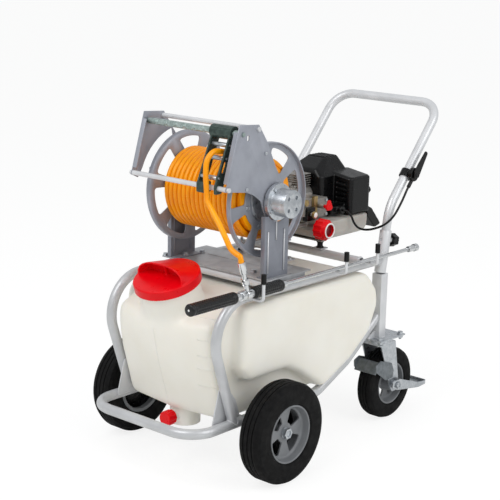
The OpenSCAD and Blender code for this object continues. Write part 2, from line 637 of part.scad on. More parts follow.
// a shaft with two crossed helical grooves, as a grid of points
screw_n = 12;
screw_step = 2.6;
screw_rows = floor((wing_far_y - wing_near_y - 12) / screw_step);
screw_y0 = (wing_near_y + wing_far_y - screw_rows * screw_step) / 2;
module traverse_screw() at_cart() color("gray") {
    v = [for (i = [0 : screw_rows]) for (j = [0 : screw_n - 1]) let (
        cut = i > 3 && i < screw_rows - 3 && ((i + j) % screw_n == 0 || (i + screw_n - j) % screw_n == 0),
        q = screw_d / 2 - (cut ? groove : 0))
        [screw.x + q * cos(360 * j / screw_n), screw_y0 + i * screw_step,
            screw.y + q * sin(360 * j / screw_n)]];
    f = [for (i = [0 : screw_rows - 1]) for (j = [0 : screw_n - 1])
        let (a = i * screw_n + j, b = i * screw_n + (j + 1) % screw_n)
        each (i + j) % 2 == 0 ? [[a, b, a + screw_n], [b, b + screw_n, a + screw_n]] :
            [[a, b + screw_n, a + screw_n], [a, b, b + screw_n]]];
    last = screw_rows * screw_n;
    polyhedron(v, concat(f, [[for (j = [screw_n - 1 : -1 : 0]) j],
        [for (j = [0 : screw_n - 1]) last + j]]));
    bar_y(screw, wing_near_y - 6, screw_y0, 10);
    bar_y(screw, screw_y0 + screw_rows * screw_step, wing_far_y + 6, 10);
}

// sliding block on the screw, two long roller arms and a foot on the lower rod
roller_dir = unit(rod_low - screw);
roller_at = [hose_gate - 16 * roller_dir, hose_gate + 16 * roller_dir,
    hose_gate + 62 * roller_dir + [-8, 0]];
arm_n = [-roller_dir.y, roller_dir.x];
arm_slot = [for (q = [[23, -4], [23, 4], [51, 4], [51, -4]]) hose_gate + q[0] * roller_dir + q[1] * arm_n];
module carriage() at_cart() translate([0, carriage_y, 0]) color("darkslategray") difference() {
    union() {
        for (y = [-30, 25]) side_plate(rounded([screw + [-14, 12], screw + [14, 12], screw + [14, -14],
            rod_low + [14, -6], rod_low + [10, -14], rod_low + [-12, -14], rod_low + [-12, 6],
            screw + [-16, -12]], 5), y, 5);
        translate([screw.x - 14, -30, screw.y + 8]) cube([28, 60, 4]);
        bar_y(screw, -34, 34, screw_d + 17);
        side_plate(rounded([rod_low + [-14, -14], rod_low + [14, -14], rod_low + [14, 12],
            rod_low + [-14, 12]], 4), 6, 22);
    }
    bar_y(screw, -60, 60, screw_d + 1);
    bar_y(rod_low, -60, 60, rod_d + 0.6);
    for (p = roller_at) bar_y(p, -60, 60, 6);
    side_plate(rounded(arm_slot, 3.9), -40, 80);
}
module carriage_rollers() at_cart() translate([0, carriage_y, 0]) color("silver") for (p = roller_at) {
    bar_y(p, -31, 31, 6);
    difference() {
        bar_y(p, -24.5, 24.5, 11);
        bar_y(p, -30, 30, 6);
    }
}

// ---------- drum ----------
module disc(y, dir) translate([reel.x, y, reel.y]) rotate([dir > 0 ? 90 : -90, 0, 0]) difference() {
    rotate_extrude($fn = 96) polygon([[barrel_r + 0.1, 0], [disc_d / 2 - 4, 0], [disc_d / 2, 3],
        [disc_d / 2, disc_lip],
        [disc_d / 2 - 3, disc_lip], [disc_d / 2 - 3, 4], [disc_d / 2 - 5, disc_t],
            [barrel_r + 0.1, disc_t]]);
    for (k = [0 : disc_windows - 1]) rotate([0, 0, 360 / disc_windows * k + 12]) translate([0, 0, -1])
        linear_extrude(10) polygon(window(17, 74, disc_d / 2 - 15, 7));
}
module reel_discs() at_cart() color("lightgray") {
    disc(disc_near, 1);
    disc(disc_far, -1);
}
module drum_core() at_cart() color("orange") difference() {
    bar_y(reel, disc_near + seat, disc_far - seat, 2 * core_r);
    bar_y(reel, -200, 200, 2 * barrel_r + 2 * seat);
}
module drum_shaft() at_cart() color("silver") {
    difference() {
        bar_y(reel, disc_near - 8, disc_far + 8, 2 * barrel_r);
        bar_y(reel, disc_near - 5, disc_far + 5, 2 * barrel_r - 5);
        bar_y(reel, -200, 200, shaft_d);
    }
    bar_y(reel, wing_near_y - 12, wing_far_y + 14, shaft_d);
    difference() {
        union() {
            bar_y(reel, -191, -151, 68);
            bar_y(reel, -151, -139, 90);
        }
        bar_y(reel, -145, -130, shaft_d);
        for (k = [0 : 3]) translate([reel.x, 0, reel.y]) rotate([0, 90 * k + 45, 0])
            bar_y([20, 0], -192, -184, 9);
    }
}

// one continuous coil: the outer hose layer
function coil(u) = let (a = wind_start - 360 * u)
    [reel.x + wind_r * cos(a), disc_near + pitch / 2 + pitch * u, reel.y + wind_r * sin(a)];
coil_n = (hose_loops - 1) * 24;
lead_in = [-sin(wind_start), 0, cos(wind_start)];
lead_h = 56;          // the straight hose leaves the drum past the reach of the turning coil
coil_pts = concat([coil(0) + lead_in * lead_h], [for (i = [0 : coil_n]) coil(i / 24)],
    [coil(coil_n / 24) - lead_in * hose_d]);
// least distance between the coil's points one turn apart, less the hose
echo(winding_gap = min([for (i = [0 : coil_n - 24]) norm(coil(i / 24) - coil(i / 24 + 1))]) - hose_d);
module hose_winding() at_cart() color("orange") swept(coil_pts, hose_d, 6);

// the lance's hose inlet leans forward and ends in a ferrule
inlet = [-84, lance.x, lance.y + 6];
inlet_lean = 17;
inlet_h = 78;
ferrule_dir = [-sin(inlet_lean), 0, cos(inlet_lean)];
ferrule_top = inlet + inlet_h * ferrule_dir;

// the hose from the drum through the carriage, and on to the lance
hand_over = [-95, -86, 690];
hang = [-0.035, -0.13, -0.99];
guide_pts = concat([coil(0) + lead_in * (lead_h + hair)],
    smooth([coil(0) + lead_in * (lead_h + 16), [12, -91, 771.5], [hose_gate.x, -84, hose_gate.y],
    [-72, -82, 785], [-89, -80, 768], [-93, -80, 744], [-94, -82, 720], hand_over - 14 * hang], 3),
        [hand_over]);
run_pts = concat([hand_over + hair * hang], smooth([hand_over + 14 * hang, [-97, -100, 662],
    [-104, -130, 635],
    [-109, -158, 604], [-110, -178, 578], ferrule_top + 14 * ferrule_dir], 3),
        [ferrule_top + hair * ferrule_dir]);
module hose_guide_run() at_cart() color("orange") swept(guide_pts, hose_d, 8);
module hose_run() at_cart() color("orange") swept(run_pts, hose_d, 8);

// ---------- lance ----------
module lance_bar(x0, x1, d) bar_x(x0, x1, lance.x, lance.y, d);
module lance_grips() at_cart() color([0.1, 0.1, 0.1]) {
    difference() {
        lance_bar(-278, -127, grip_d);
        for (k = [0 : 11]) translate([0, lance.x, lance.y]) rotate([30 * k, 0, 0])
            bar_x(-270, -140, 0, grip_d / 2 + 0.6, 4);
        lance_bar(-270, -100, lance_d + 4);
    }
    difference() {
        lance_bar(-65, 37, grip_d);
        for (k = [0 : 11]) translate([0, lance.x, lance.y]) rotate([30 * k, 0, 0])
            bar_x(-52, 24, 0, grip_d / 2 + 0.6, 4);
        lance_bar(-80, 60, lance_d + 4);
    }
}
module lance_metal() at_cart() color("gainsboro") {
    lance_bar(-269, 37, lance_d + 4);
    difference() {
        union() {
            lance_bar(-126.5, -112, 20);
            lance_bar(-108, -96, 24);
            lance_bar(-90, -66, 22);
        }
        lance_bar(-130, 60, lance_d + 4);
    }
    lance_bar(37, 570, lance_d);
    difference() {
        lance_bar(37.3, 53, 16);
        lance_bar(30, 80, lance_d);
    }
    translate(inlet) rotate([0, -inlet_lean, 0]) {
        cylinder(d = 13, h = 24);
        translate([0, 0, 20]) cylinder(d = 19, h = 14, $fn = 6);
        translate([0, 0, 34]) cylinder(d = 12, h = 20);
        translate([0, 0, 50]) cylinder(d = 18, h = inlet_h - 50);
    }
}
module nozzle() at_cart() color("gainsboro") difference() {
    union() {
        lance_bar(560, 585, 16);
        lance_bar(585, 598, 20);
    }
    lance_bar(550, 570.3, lance_d + 2 * run_fit);
    lance_bar(575, 600, 3);
    lance_bar(592, 600, 14);
}

// J rods from the near rail, each just under what it carries
hooks = [[-52, grip_d / 2], [262, lance_d / 2], [392, lance_d / 2]];
hook_y = lance.x - grip_d / 2 - 3.5 - hook_d / 2;
hook_top = 514;
function hook_z(i) = lance.y - hooks[i][1] - seat - hook_d / 2;
module lance_hooks() at_cart() color("silver") for (i = [0 : 2]) translate([hooks[i][0], 0, 0])
    rotate([0, 0, 90]) {
    z = hook_z(i);
    y0 = half_w + sqrt(pow(tube_r, 2) - pow(z - rail_z, 2)) - 1.5;
    difference() {
        tube_run([[-y0, z], [hook_y, z], [hook_y, hook_top]], 9, hook_d, 0);
        translate([-half_w, 100, rail_z]) rotate([90, 0, 0]) cylinder(d = tube_d + 0.2, h = 200);
    }
}
module hook_caps() at_cart() color([0.1, 0.1, 0.1]) for (i = [0 : 2])
    translate([hooks[i][0], hook_y, 0]) difference() {
    translate([0, 0, 494]) cylinder(d = hook_d + 5, h = hook_top - 494 + 4);
    translate([0, 0, 490]) cylinder(d = hook_d + 0.2, h = hook_top - 490 + 0.1);
}

// ---------- engine and pump ----------
engine_z = deck_z + deck_t;   // under the rubber mounts
mount_h = 17;
foot_z = engine_z + mount_h;
front_mounts = [[237, -30], [237, 96]];
rear_mounts = [[cross_x[1], -30], [cross_x[1], 96]];
module engine_mounts() at_cart() color([0.1, 0.1, 0.1]) for (p = concat(front_mounts, rear_mounts))
    translate([p.x, p.y, engine_z]) rotate_extrude()
        polygon([[0, 0], [mount_d / 2, 0], [mount_d / 2 - 3.5, 5],
        [mount_d / 2 - 3.5, mount_h - 5], [mount_d / 2, mount_h], [0, mount_h]]);

// a bowl that widens upward, under the engine: inset, height above the feet and corner radius of each level
bowl = [[21, 4.4, 8], [11, 7, 12], [4, 13, 16], [1, 24, 18], [0, 40, 18], [0, 57.5, 18]];
module fuel_tank() at_cart() color("white") hull() for (q = bowl) for (x = [400 + q[0], 557 - q[0]])
    for (y = [q[0] - 48, 96 - q[0]]) translate([x, y, foot_z + q[1]]) cylinder(r = q[2], h = 0.5, $fn = 24);

module crankcase() at_cart() color("gray") {
    // the frame under the engine
    translate([226, -42, foot_z]) cube([22, 150, 4]);
    translate([226, 84, foot_z]) cube([194, 24, 4]);
    translate([397, -42, foot_z]) cube([22, 150, 4]);
    translate([330, 62, foot_z]) cube([46, 44, 566 - foot_z]);
    // crankcase, cylinder and fins
    translate([376.2, -30, 555]) cube([56, 120, 50]);
    bar_x(376.2, 440.7, 60, 596, 72);
    translate([410, 60, 600]) cylinder(d = 44, h = 58);
    for (k = [0 : 5]) translate([384, 30, 628 + 6 * k]) cube([52, 60, 2.4]);
    bar_y([385, 590], -58, -29, 14);
}

// cowling over the engine, and the air cleaner box with its slots
module shroud() at_cart() color([0.12, 0.12, 0.12]) {
    difference() {
        hull() {
            for (x = [455, 556]) for (y = [14, 112]) translate([x, y, 572])
                cylinder(r = 14, h = 78, $fn = 24);
            for (y = [28, 98]) translate([456, y, 660]) sphere(13, $fn = 24);
            for (x = [502, 545]) for (y = [40, 86]) translate([x, y, 685]) sphere(12, $fn = 24);
        }
        for (k = [0 : 4]) translate([494 + 12 * k, 32, 690.5]) cube([5.5, 62, 20]);
    }
    difference() {
        hull() for (x = [509, 575]) for (q = [[-46, 650], [18, 660]]) translate([x, q[0], 548]) {
            translate([0, 0, 5]) cylinder(r = 12, h = q[1] - 558, $fn = 24);
            cylinder(r = 7, h = q[1] - 548, $fn = 24);
        }
        for (k = [0 : 5]) translate([494, -42, 566 + 13 * k]) cube([7, 34, 5]);
    }
    bar_x(585, 598, -30, 602, 16);
    // outlet duct, and the carburettor under the box
    side_plate(rounded([[576, 566], [598, 556], [643, 506], [616, 499], [580, 536]], 4), -56, 36);
    translate([440, -38, 556]) cube([66, 44, 20]);
    bar_y([474, 566], -52, -37, 22);
}

module air_knob() at_cart() color([0.1, 0.1, 0.1]) difference() {
    union() {
        bar_x(598.2, 606, -30, 602, 12);
        bar_x(606, 612, -30, 602, 20);
    }
    for (k = [0 : 5]) translate([0, -30, 602]) rotate([60 * k, 0, 0]) bar_x(605, 613, 0, 11, 4);
}

// pump with its valve caps, and the regulator body that hangs below it
regulator = [346, 539];
module pump() at_cart() color("darkgray") {
    translate([300, -34, 566]) cube([76, 132, 44]);
    translate([300, -54, 572]) cube([14, 21, 22]);
    translate([306, -30, 609]) cube([60, 118, 16]);
    for (k = [0 : 2]) translate([318, -12 + 34 * k, 624]) cylinder(d = 20, h = 12, $fn = 6);
    for (k = [0 : 2]) translate([348, -12 + 34 * k, 624]) cylinder(d = 16, h = 8);
    bar_y(regulator, -72.7, -24, 22);
    bar_y(regulator, -26, 10, 17);
    translate([regulator.x, 0, regulator.y]) cylinder(d = 17, h = 28);
    bar_x(304, regulator.x, -34, 547, 13);
}

module pump_fittings() at_cart() color("goldenrod") {
    bar_x(276, 300, -46, 583, 12);
    bar_x(281, 289, -46, 583, 17);
    bar_x(276, 300, -14, 583, 12);
    bar_x(281, 289, -14, 583, 17);
    bar_y([330, 577], -68, -34, 8);
    bar_y([330, 577], -74, -67, 18);
    translate([362, -42, 560]) cube([14, 8, 56]);
    bar_y([320, 606], -52, -34, 17);
}

module pressure_knob() at_cart() color("red") translate([regulator.x, -73, regulator.y]) rotate([90, 0, 0])
    difference() {
        union() {
            cylinder(d = knob_d - 4, h = 26);
            translate([0, 0, 25.9]) cylinder(d1 = knob_d - 5, d2 = knob_d - 15, h = 10);
            for (k = [0 : 11]) rotate([0, 0, 30 * k]) translate([knob_d / 2 - 4, 0, 0])
                cylinder(d = 8, h = 25, $fn = 16);
        }
        translate([0, 0, 29]) cylinder(d = knob_d - 24, h = 10);
    }

module relief_lever() at_cart() color("red") {
    bar_y([385, 590], -70, -58.3, 10);
    side_plate(rounded([[377, 582], [393, 582], [398, 588], [388, 608], [382, 608], [372, 588]], 2),
        -76, 6);
}

// ---------- throttle ----------
throttle_s = 106;     // along the upper leg from the knee
throttle_at = knee + up_dir * throttle_s + [2, 2];
module throttle_body() at_cart() color([0.12, 0.12, 0.12]) {
    difference() {
        translate([0, -half_w, 0]) straight(knee + up_dir * (throttle_s - 11),
            knee + up_dir * (throttle_s + 11), handle_d + 8, 0);
        translate([0, -half_w, 0]) straight(knee + up_dir * (throttle_s - 30),
            knee + up_dir * (throttle_s + 30), handle_d + 0.2, 0);
    }
    bar_y(throttle_at, -half_w - 28, -half_w - 17, 36);
    bar_y(throttle_at, -half_w - 34, -half_w - 28, 8);
    at = knee + up_dir * (throttle_s - 34) + [4, -4];
    translate([0, -half_w - 22, 0]) straight(at, at + 20 * up_dir, 10, 0);
}
module throttle_lever() at_cart() color([0.2, 0.2, 0.2]) difference() {
    side_plate(rounded([throttle_at + [-10, -10], throttle_at + [10, -9], throttle_at + [48, 52],
        throttle_at + [40, 60],
        throttle_at + [-9, 10]], 5), -half_w - 33, 4);
    bar_y(throttle_at, -300, 0, 8 + 2 * run_fit);
}
cable_top = knee + up_dir * (throttle_s - 34) + [4, -4];
cable_dir = [up_dir.x, 0, up_dir.y];
cable_a = [cable_top.x, -half_w - 22, cable_top.y];
cable_pts = concat([cable_a - hair * cable_dir], smooth([cable_a - 10 * cable_dir, [532, -198, 602],
    [502, -197, 570],
    [482, -184, 548], [476, -156, 533], [480, -124, 524], [484, -98, 524], [482, -84, 536], [478, -77, 553],
    [474, -64, 566]], 3), [[474, -52 - hair, 566]]);
module throttle_cable() at_cart() color([0.1, 0.1, 0.1]) swept(cable_pts, 6, 8);

base_loop();
side_arches();
frame_plates();
cross_tubes();
rear_columns();
axle();
axle_brackets();
tyre_near();
hub_near();
tyre_far();
hub_far();
caster_plates();
caster_fork_near();
caster_tyre_near();
caster_hub_near();
brake_pedal_near();
brake_shoe_near();
caster_fork_far();
caster_tyre_far();
caster_hub_far();
brake_pedal_far();
brake_shoe_far();
handle();
clamp_knob_near();
clamp_knob_far();
tank();
sump();
lid();
drain_cap();
deck_plates();
reel_posts();
wing_near();
wing_far();
reel_rods();
traverse_screw();
carriage();
carriage_rollers();
reel_discs();
drum_core();
drum_shaft();
hose_winding();
hose_guide_run();
hose_run();
lance_grips();
lance_metal();
nozzle();
lance_hooks();
hook_caps();
engine_mounts();
fuel_tank();
crankcase();
shroud();
pump();
pump_fittings();
pressure_knob();
relief_lever();
throttle_body();
throttle_lever();
throttle_cable();
air_knob();
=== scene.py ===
"""Looks of a wheeled sprayer cart: a poly tank in a silver tube frame, with a hose reel, an engine pump,
a lance in its hooks, two main wheels and two braked casters. Lengths are in millimetres unless a comment
says otherwise."""

import math
import random

import bmesh
import bpy
from mathutils import Matrix, Vector
from mathutils.bvhtree import BVHTree


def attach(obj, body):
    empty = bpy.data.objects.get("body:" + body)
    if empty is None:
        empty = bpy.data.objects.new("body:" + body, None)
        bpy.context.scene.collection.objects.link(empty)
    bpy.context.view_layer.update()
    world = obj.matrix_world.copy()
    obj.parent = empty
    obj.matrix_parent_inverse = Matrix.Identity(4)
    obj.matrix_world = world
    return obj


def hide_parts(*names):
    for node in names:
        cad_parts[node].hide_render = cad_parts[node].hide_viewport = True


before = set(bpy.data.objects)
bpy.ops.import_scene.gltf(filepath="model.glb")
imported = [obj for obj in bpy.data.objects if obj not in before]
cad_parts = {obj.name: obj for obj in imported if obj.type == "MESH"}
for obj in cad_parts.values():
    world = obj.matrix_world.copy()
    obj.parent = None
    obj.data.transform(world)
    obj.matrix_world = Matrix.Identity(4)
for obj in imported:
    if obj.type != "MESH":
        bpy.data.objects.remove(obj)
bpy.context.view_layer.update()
random.seed(7)

# ---------- sizes that several pieces share ----------
MM = 0.001  # metres in a millimetre
AXLE_X, AXLE_Z = -230, 125  # the main axle, from the middle of the footprint and above the floor
HALF_W, TUBE_R = 175, 12.5  # the side tubes, from the cart's middle, and their radius
LOOP_Z = 148  # the lower loop
CROSS_X, CROSS_Z, CROSS_R = (53, 408), 458, 11  # the cross tubes under the deck
# tops of the caster plates, the deck, the feet of the reel's posts and the frame on the engine's mounts
PLATE_TOP, DECK_TOP, FOOT_TOP, MOUNT_TOP = 240, 472.3, 474.8, 493.3
COLUMN_FRONT, COLUMN_BACK, COLUMN_HALF = 470, 498, 15  # the rear columns, square tubes on the caster plates
SEAT = 0.3  # gap between two curved faces that seat on each other
UP, DOWN, NEAR, FAR, FRONT, BACK = (0, 0, 1), (0, 0, -1), (0, -1, 0), (0, 1, 0), (-1, 0, 0), (1, 0, 0)


def at(x, y, z):
    """A point of the cart, from millimetres behind the axle, across and above the floor."""
    return Vector((x + AXLE_X, y, z)) * MM


def outward(azimuth, elevation):
    """The direction from the cart to something round it, from degrees."""
    a, e = math.radians(azimuth), math.radians(elevation)
    return Vector((math.sin(a) * math.cos(e), -math.cos(a) * math.cos(e), math.sin(e)))


# ---------- camera ----------
VIEW_AZIMUTH, VIEW_ELEVATION, VIEW_ROLL = -48.993, 14.338, 1.2886  # degrees
DISTANCE = 3.41093  # metres
FRAME_PX, FOCAL_PX, SENSOR = 500, 1344.27, 36  # width of the frame and focal length in pixels
AIM = at(162.94, 0, 448.99)  # a point of the cart
AIM_PX = (250.27, 269.487)  # where that point stands in the frame


def make_camera():
    azimuth, roll = math.radians(VIEW_AZIMUTH), math.radians(VIEW_ROLL)
    back = outward(VIEW_AZIMUTH, VIEW_ELEVATION)
    level = Vector((math.cos(azimuth), math.sin(azimuth), 0))
    upright = back.cross(level)
    right = level * math.cos(roll) + upright * math.sin(roll)
    up = upright * math.cos(roll) - level * math.sin(roll)
    data = bpy.data.cameras.new("camera")
    data.sensor_width = SENSOR
    data.lens = FOCAL_PX / FRAME_PX * SENSOR
    data.shift_x = (FRAME_PX / 2 - AIM_PX[0]) / FRAME_PX
    data.shift_y = (AIM_PX[1] - FRAME_PX / 2) / FRAME_PX
    camera = bpy.data.objects.new("camera", data)
    place = Matrix((right, up, back)).transposed().to_4x4()
    place.translation = AIM + back * DISTANCE
    camera.matrix_world = place
    bpy.context.scene.collection.objects.link(camera)
    bpy.context.scene.camera = camera


make_camera()


# ---------- materials ----------
def linear(code):
    """A hex sRGB colour as the linear numbers that the shader takes, with a full alpha."""
    parts = [int(code[i : i + 2], 16) / 255 for i in (0, 2, 4)]
    return [c / 12.92 if c <= 0.04045 else ((c + 0.055) / 1.055) ** 2.4 for c in parts] + [1.0]


def add(tree, kind, inputs=None, **settings):
    """Adds one node. inputs maps a socket's name or number to a value or to the output that feeds it."""
    node = tree.nodes.new("ShaderNode" + kind)
    for name, value in settings.items():
        setattr(node, name, value)
    for key, value in (inputs or {}).items():
        if isinstance(value, bpy.types.Node):
            value = value.outputs[0]
        if isinstance(value, bpy.types.NodeSocket):
            tree.links.new(value, node.inputs[key])
        else:
            node.inputs[key].default_value = value
    return node


def new_material(name, **sockets):
    """A new material with its tree, its shader and the place of each point on its piece."""
    material = bpy.data.materials.new(name)
    material.use_nodes = True
    tree = material.node_tree
    tree.nodes.clear()
    shader = add(tree, "BsdfPrincipled", {key.replace("_", " "): value for key, value in sockets.items()})
    add(tree, "OutputMaterial", {"Surface": shader})
    place = add(tree, "TexCoord").outputs["Object"]
    return material, tree, shader, place


def mottle(tree, shader, place, low, high, size):
    """Colour that drifts between two shades in patches of that size."""
    noise = add(tree, "TexNoise", {"Vector": place, "Scale": 1 / (size * MM), "Detail": 3.0})
    ramp = add(tree, "ValToRGB", {"Fac": noise})
    start, end = ramp.color_ramp.elements
    start.position, end.position = 0.35, 0.65
    start.color, end.color = linear(low), linear(high)
    tree.links.new(ramp.outputs[0], shader.inputs["Base Color"])


def rough_patches(tree, shader, place, low, high, size):
    """Roughness that drifts between two values in patches of that size."""
    noise = add(tree, "TexNoise", {"Vector": place, "Scale": 1 / (size * MM), "Detail": 4.0})
    span = {"Value": noise, "From Min": 0.3, "From Max": 0.7, "To Min": low, "To Max": high}
    tree.links.new(add(tree, "MapRange", span).outputs[0], shader.inputs["Roughness"])


def fine_skin(tree, shader, place, grain, depth):
    """A surface texture with that grain and depth."""
    noise = add(tree, "TexNoise", {"Vector": place, "Scale": 1 / (grain * MM), "Detail": 4.0})
    bump = add(tree, "Bump", {"Height": noise, "Distance": depth * MM, "Strength": 1.0})
    tree.links.new(bump.outputs[0], shader.inputs["Normal"])


FINISH, SLOT = {}, {}  # each finish's material, and the record's slot that it stands for
GLOSS_SHARE = 0.6  # size of the patches of gloss, from the size of those of colour


def new_finish(name, slot, low, high, patch, rough, grain, depth, **sockets):
    """A finish with mottled colour, uneven gloss and a fine skin."""
    material, tree, shader, place = new_material(name, **sockets)
    mottle(tree, shader, place, low, high, patch)
    rough_patches(tree, shader, place, *rough, patch * GLOSS_SHARE)
    fine_skin(tree, shader, place, grain, depth)
    FINISH[name], SLOT[name] = material, slot


# aluminium-silver stoving enamel: pale, a soft metallic sheen and a faint orange peel
new_finish("silver_enamel", "frame_paint", "D2D3D5", "DCDDDF",
    patch=45, rough=(0.3, 0.4), grain=2.2, depth=0.04, Metallic=0.25)
# bright zinc plate: cool grey, cloudy where it was dipped
new_finish("zinc_plate", "zinc", "B4B9BE", "CBCED2",
    patch=14, rough=(0.24, 0.4), grain=1.2, depth=0.02, Metallic=0.9)
# zinc plate of the brake shoes, gone dull: darker than the plates and forks
new_finish("dark_zinc", "zinc", "6F7478", "83888C",
    patch=12, rough=(0.34, 0.5), grain=1.2, depth=0.03, Metallic=0.8)
# sheet steel in blue-grey powder coat: even, satin, a fine orange peel
new_finish("blue_grey_coat", "reel_paint", "9598A1", "9FA2AB",
    patch=40, rough=(0.36, 0.46), grain=1.8, depth=0.04, Metallic=0.25)
# the handle's silver enamel on the low loop and the arches, duller and greyer as painted shade for the shade
# that falls low on the cart
new_finish("silver_enamel_painted_shade", "frame_paint", "BFC0C2", "CACBCD",
    patch=45, rough=(0.3, 0.4), grain=2.2, depth=0.04, Metallic=0.3)
# the powder coat of the posts, with painted shade: the discs' blue-grey a shade deeper for the shade the
# posts stand in
new_finish("blue_grey_post_painted_shade", "reel_paint", "80838C", "8A8D96",
    patch=40, rough=(0.34, 0.44), grain=1.8, depth=0.04, Metallic=0.25)
# bare rolled steel sheet of the deck: pale grey, half metallic, unevenly bright
new_finish("rolled_sheet", "reel_paint", "ABACAF", "BEBFC1",
    patch=30, rough=(0.3, 0.44), grain=1.2, depth=0.03, Metallic=0.5)
# dipped black vinyl of the lance's grips: glossy on its lands
new_finish("grip_vinyl", "grip_rubber", "060607", "0C0C0D",
    patch=14, rough=(0.26, 0.4), grain=0.8, depth=0.04, IOR=1.53, Specular_IOR_Level=0.4)
# vulcanised tyre rubber: near black, dusty and matt
new_finish("tyre_rubber", "tyre_rubber", "070708", "100F0F",
    patch=22, rough=(0.6, 0.82), grain=0.8, depth=0.1, IOR=1.52, Specular_IOR_Level=0.16)
# filled polypropylene rims: mid grey with a moulded satin skin
new_finish("rim_plastic", "hub_plastic", "76787B", "7F8184",
    patch=30, rough=(0.4, 0.52), grain=0.9, depth=0.03, IOR=1.49)
# rotomoulded natural polyethylene: ivory, waxy, lets a little light in
new_finish("tank_polyethylene", "tank_plastic", "ECE8DD", "F1EEE5",
    patch=140, rough=(0.34, 0.46), grain=3.2, depth=0.04, IOR=1.51,
    Subsurface_Weight=0.2, Subsurface_Scale=0.01, Subsurface_Radius=(1.0, 0.85, 0.6))
# moulded red polypropylene: even colour, semi-gloss
new_finish("red_plastic", "red_plastic", "DC000E", "E80010",
    patch=40, rough=(0.26, 0.36), grain=1.0, depth=0.02, IOR=1.49, Specular_IOR_Level=0.22)
# the sunk face of the pressure knob: the same red, deeper and duller, as painted shade in the recess
new_finish("red_plastic_painted_shade", "red_plastic", "5E0A14", "6B0D18",
    patch=12, rough=(0.4, 0.5), grain=0.8, depth=0.02, IOR=1.49)
# black glass-filled nylon: fine spark-eroded skin
new_finish("black_plastic", "black_plastic", "040405", "09090A",
    patch=20, rough=(0.24, 0.38), grain=0.6, depth=0.03, IOR=1.53, Specular_IOR_Level=0.26)
# moulded black rubber: matt
new_finish("black_rubber", "grip_rubber", "0B0B0B", "121111",
    patch=12, rough=(0.5, 0.7), grain=0.7, depth=0.06, IOR=1.52, Specular_IOR_Level=0.25)
# oiled steel of the traverse screw: a greenish grey that glints
new_finish("screw_steel", "screw_steel", "93A39F", "B3C0BC",
    patch=9, rough=(0.25, 0.42), grain=0.8, depth=0.03, Metallic=0.7)
# green-black hammered enamel on the carriage's castings: uneven, a little metallic
new_finish("carriage_enamel", "carriage_paint", "2E3B37", "42534D",
    patch=9, rough=(0.3, 0.46), grain=2.0, depth=0.1, Metallic=0.3)
# extruded orange PVC hose: glossy, dusty in patches
new_finish("hose_pvc", "hose_plastic", "F59600", "FFA600",
    patch=60, rough=(0.24, 0.36), grain=2.5, depth=0.03, IOR=1.53, Specular_IOR_Level=0.3)
# bright chrome plate on the lance: near a mirror
new_finish("chrome", "chrome", "D2D4D6", "DDDEDF",
    patch=20, rough=(0.08, 0.18), grain=1.0, depth=0.01, Metallic=1.0)
# sand-cast aluminium: dull with a grain of a millimetre
new_finish("cast_aluminium", "cast_metal", "8F8C88", "A5A19B",
    patch=12, rough=(0.4, 0.56), grain=1.1, depth=0.1, Metallic=0.75)
# machined brass of the pump's fittings: a little tarnished
new_finish("brass", "brass", "A08A5E", "C4AE7C",
    patch=9, rough=(0.25, 0.45), grain=1.2, depth=0.03, Metallic=1.0)
# blow-moulded white polyethylene of the fuel tank: off white, lets a little light in
new_finish("fuel_tank_white", "white_plastic", "B3ADA6", "BDB8B1",
    patch=45, rough=(0.3, 0.4), grain=1.5, depth=0.03, IOR=1.51,
    Subsurface_Weight=0.12, Subsurface_Scale=0.005)
# white acetal of the small knob, the ring and the grip's dot: clean and even
new_finish("white_acetal", "white_plastic", "E9E9E6", "F2F2F0",
    patch=10, rough=(0.25, 0.35), grain=0.8, depth=0.01, IOR=1.48)

# the nodes that each finish covers
WEARS = {
    "silver_enamel_painted_shade": "base_loop side_arches",
    "silver_enamel": "frame_plates cross_tubes rear_columns handle reel_rods lance_hooks axle_brackets",
    "zinc_plate": "axle caster_plates caster_fork_near caster_fork_far brake_pedal_near brake_pedal_far "
        "carriage_rollers drum_shaft",
    "dark_zinc": "brake_shoe_near brake_shoe_far",
    "blue_grey_coat": "reel_discs wing_near wing_far",
    "blue_grey_post_painted_shade": "reel_posts",
    "rolled_sheet": "deck_plates",
    "tyre_rubber": "tyre_near tyre_far caster_tyre_near caster_tyre_far",
    "rim_plastic": "hub_near hub_far caster_hub_near caster_hub_far",
    "tank_polyethylene": "tank sump",
    "red_plastic": "lid drain_cap pressure_knob relief_lever",
    "black_plastic": "clamp_knob_near clamp_knob_far shroud throttle_body throttle_lever air_knob hook_caps "
        "throttle_cable",
    "black_rubber": "lance_grips engine_mounts",
    "screw_steel": "traverse_screw",
    "carriage_enamel": "carriage",
    "hose_pvc": "hose_winding hose_guide_run hose_run drum_core",
    "chrome": "lance_metal nozzle",
    "cast_aluminium": "crankcase pump",
    "brass": "pump_fittings",
    "fuel_tank_white": "fuel_tank",
}


def wear(form, finish_name):
    form.data.materials.clear()
    form.data.materials.append(FINISH[finish_name])


for finish_name, nodes in WEARS.items():
    for node_name in nodes.split():
        wear(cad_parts[node_name], finish_name)

# ---------- edges of the carried-over forms ----------
SHARP = math.radians(38)  # edges that bend more than this stay sharp, or get a bevel
FLAT = math.radians(0.5)  # faces that bend less than this become one
# broken edges of cut, pressed and turned metal: their width in millimetres
BROKEN = {
    0.5: "deck_plates reel_posts wing_near wing_far reel_discs axle_brackets lance_metal nozzle "
        "brake_pedal_near brake_pedal_far brake_shoe_near brake_shoe_far carriage_rollers",
    0.8: "frame_plates rear_columns caster_plates caster_fork_near caster_fork_far axle drum_shaft",
}
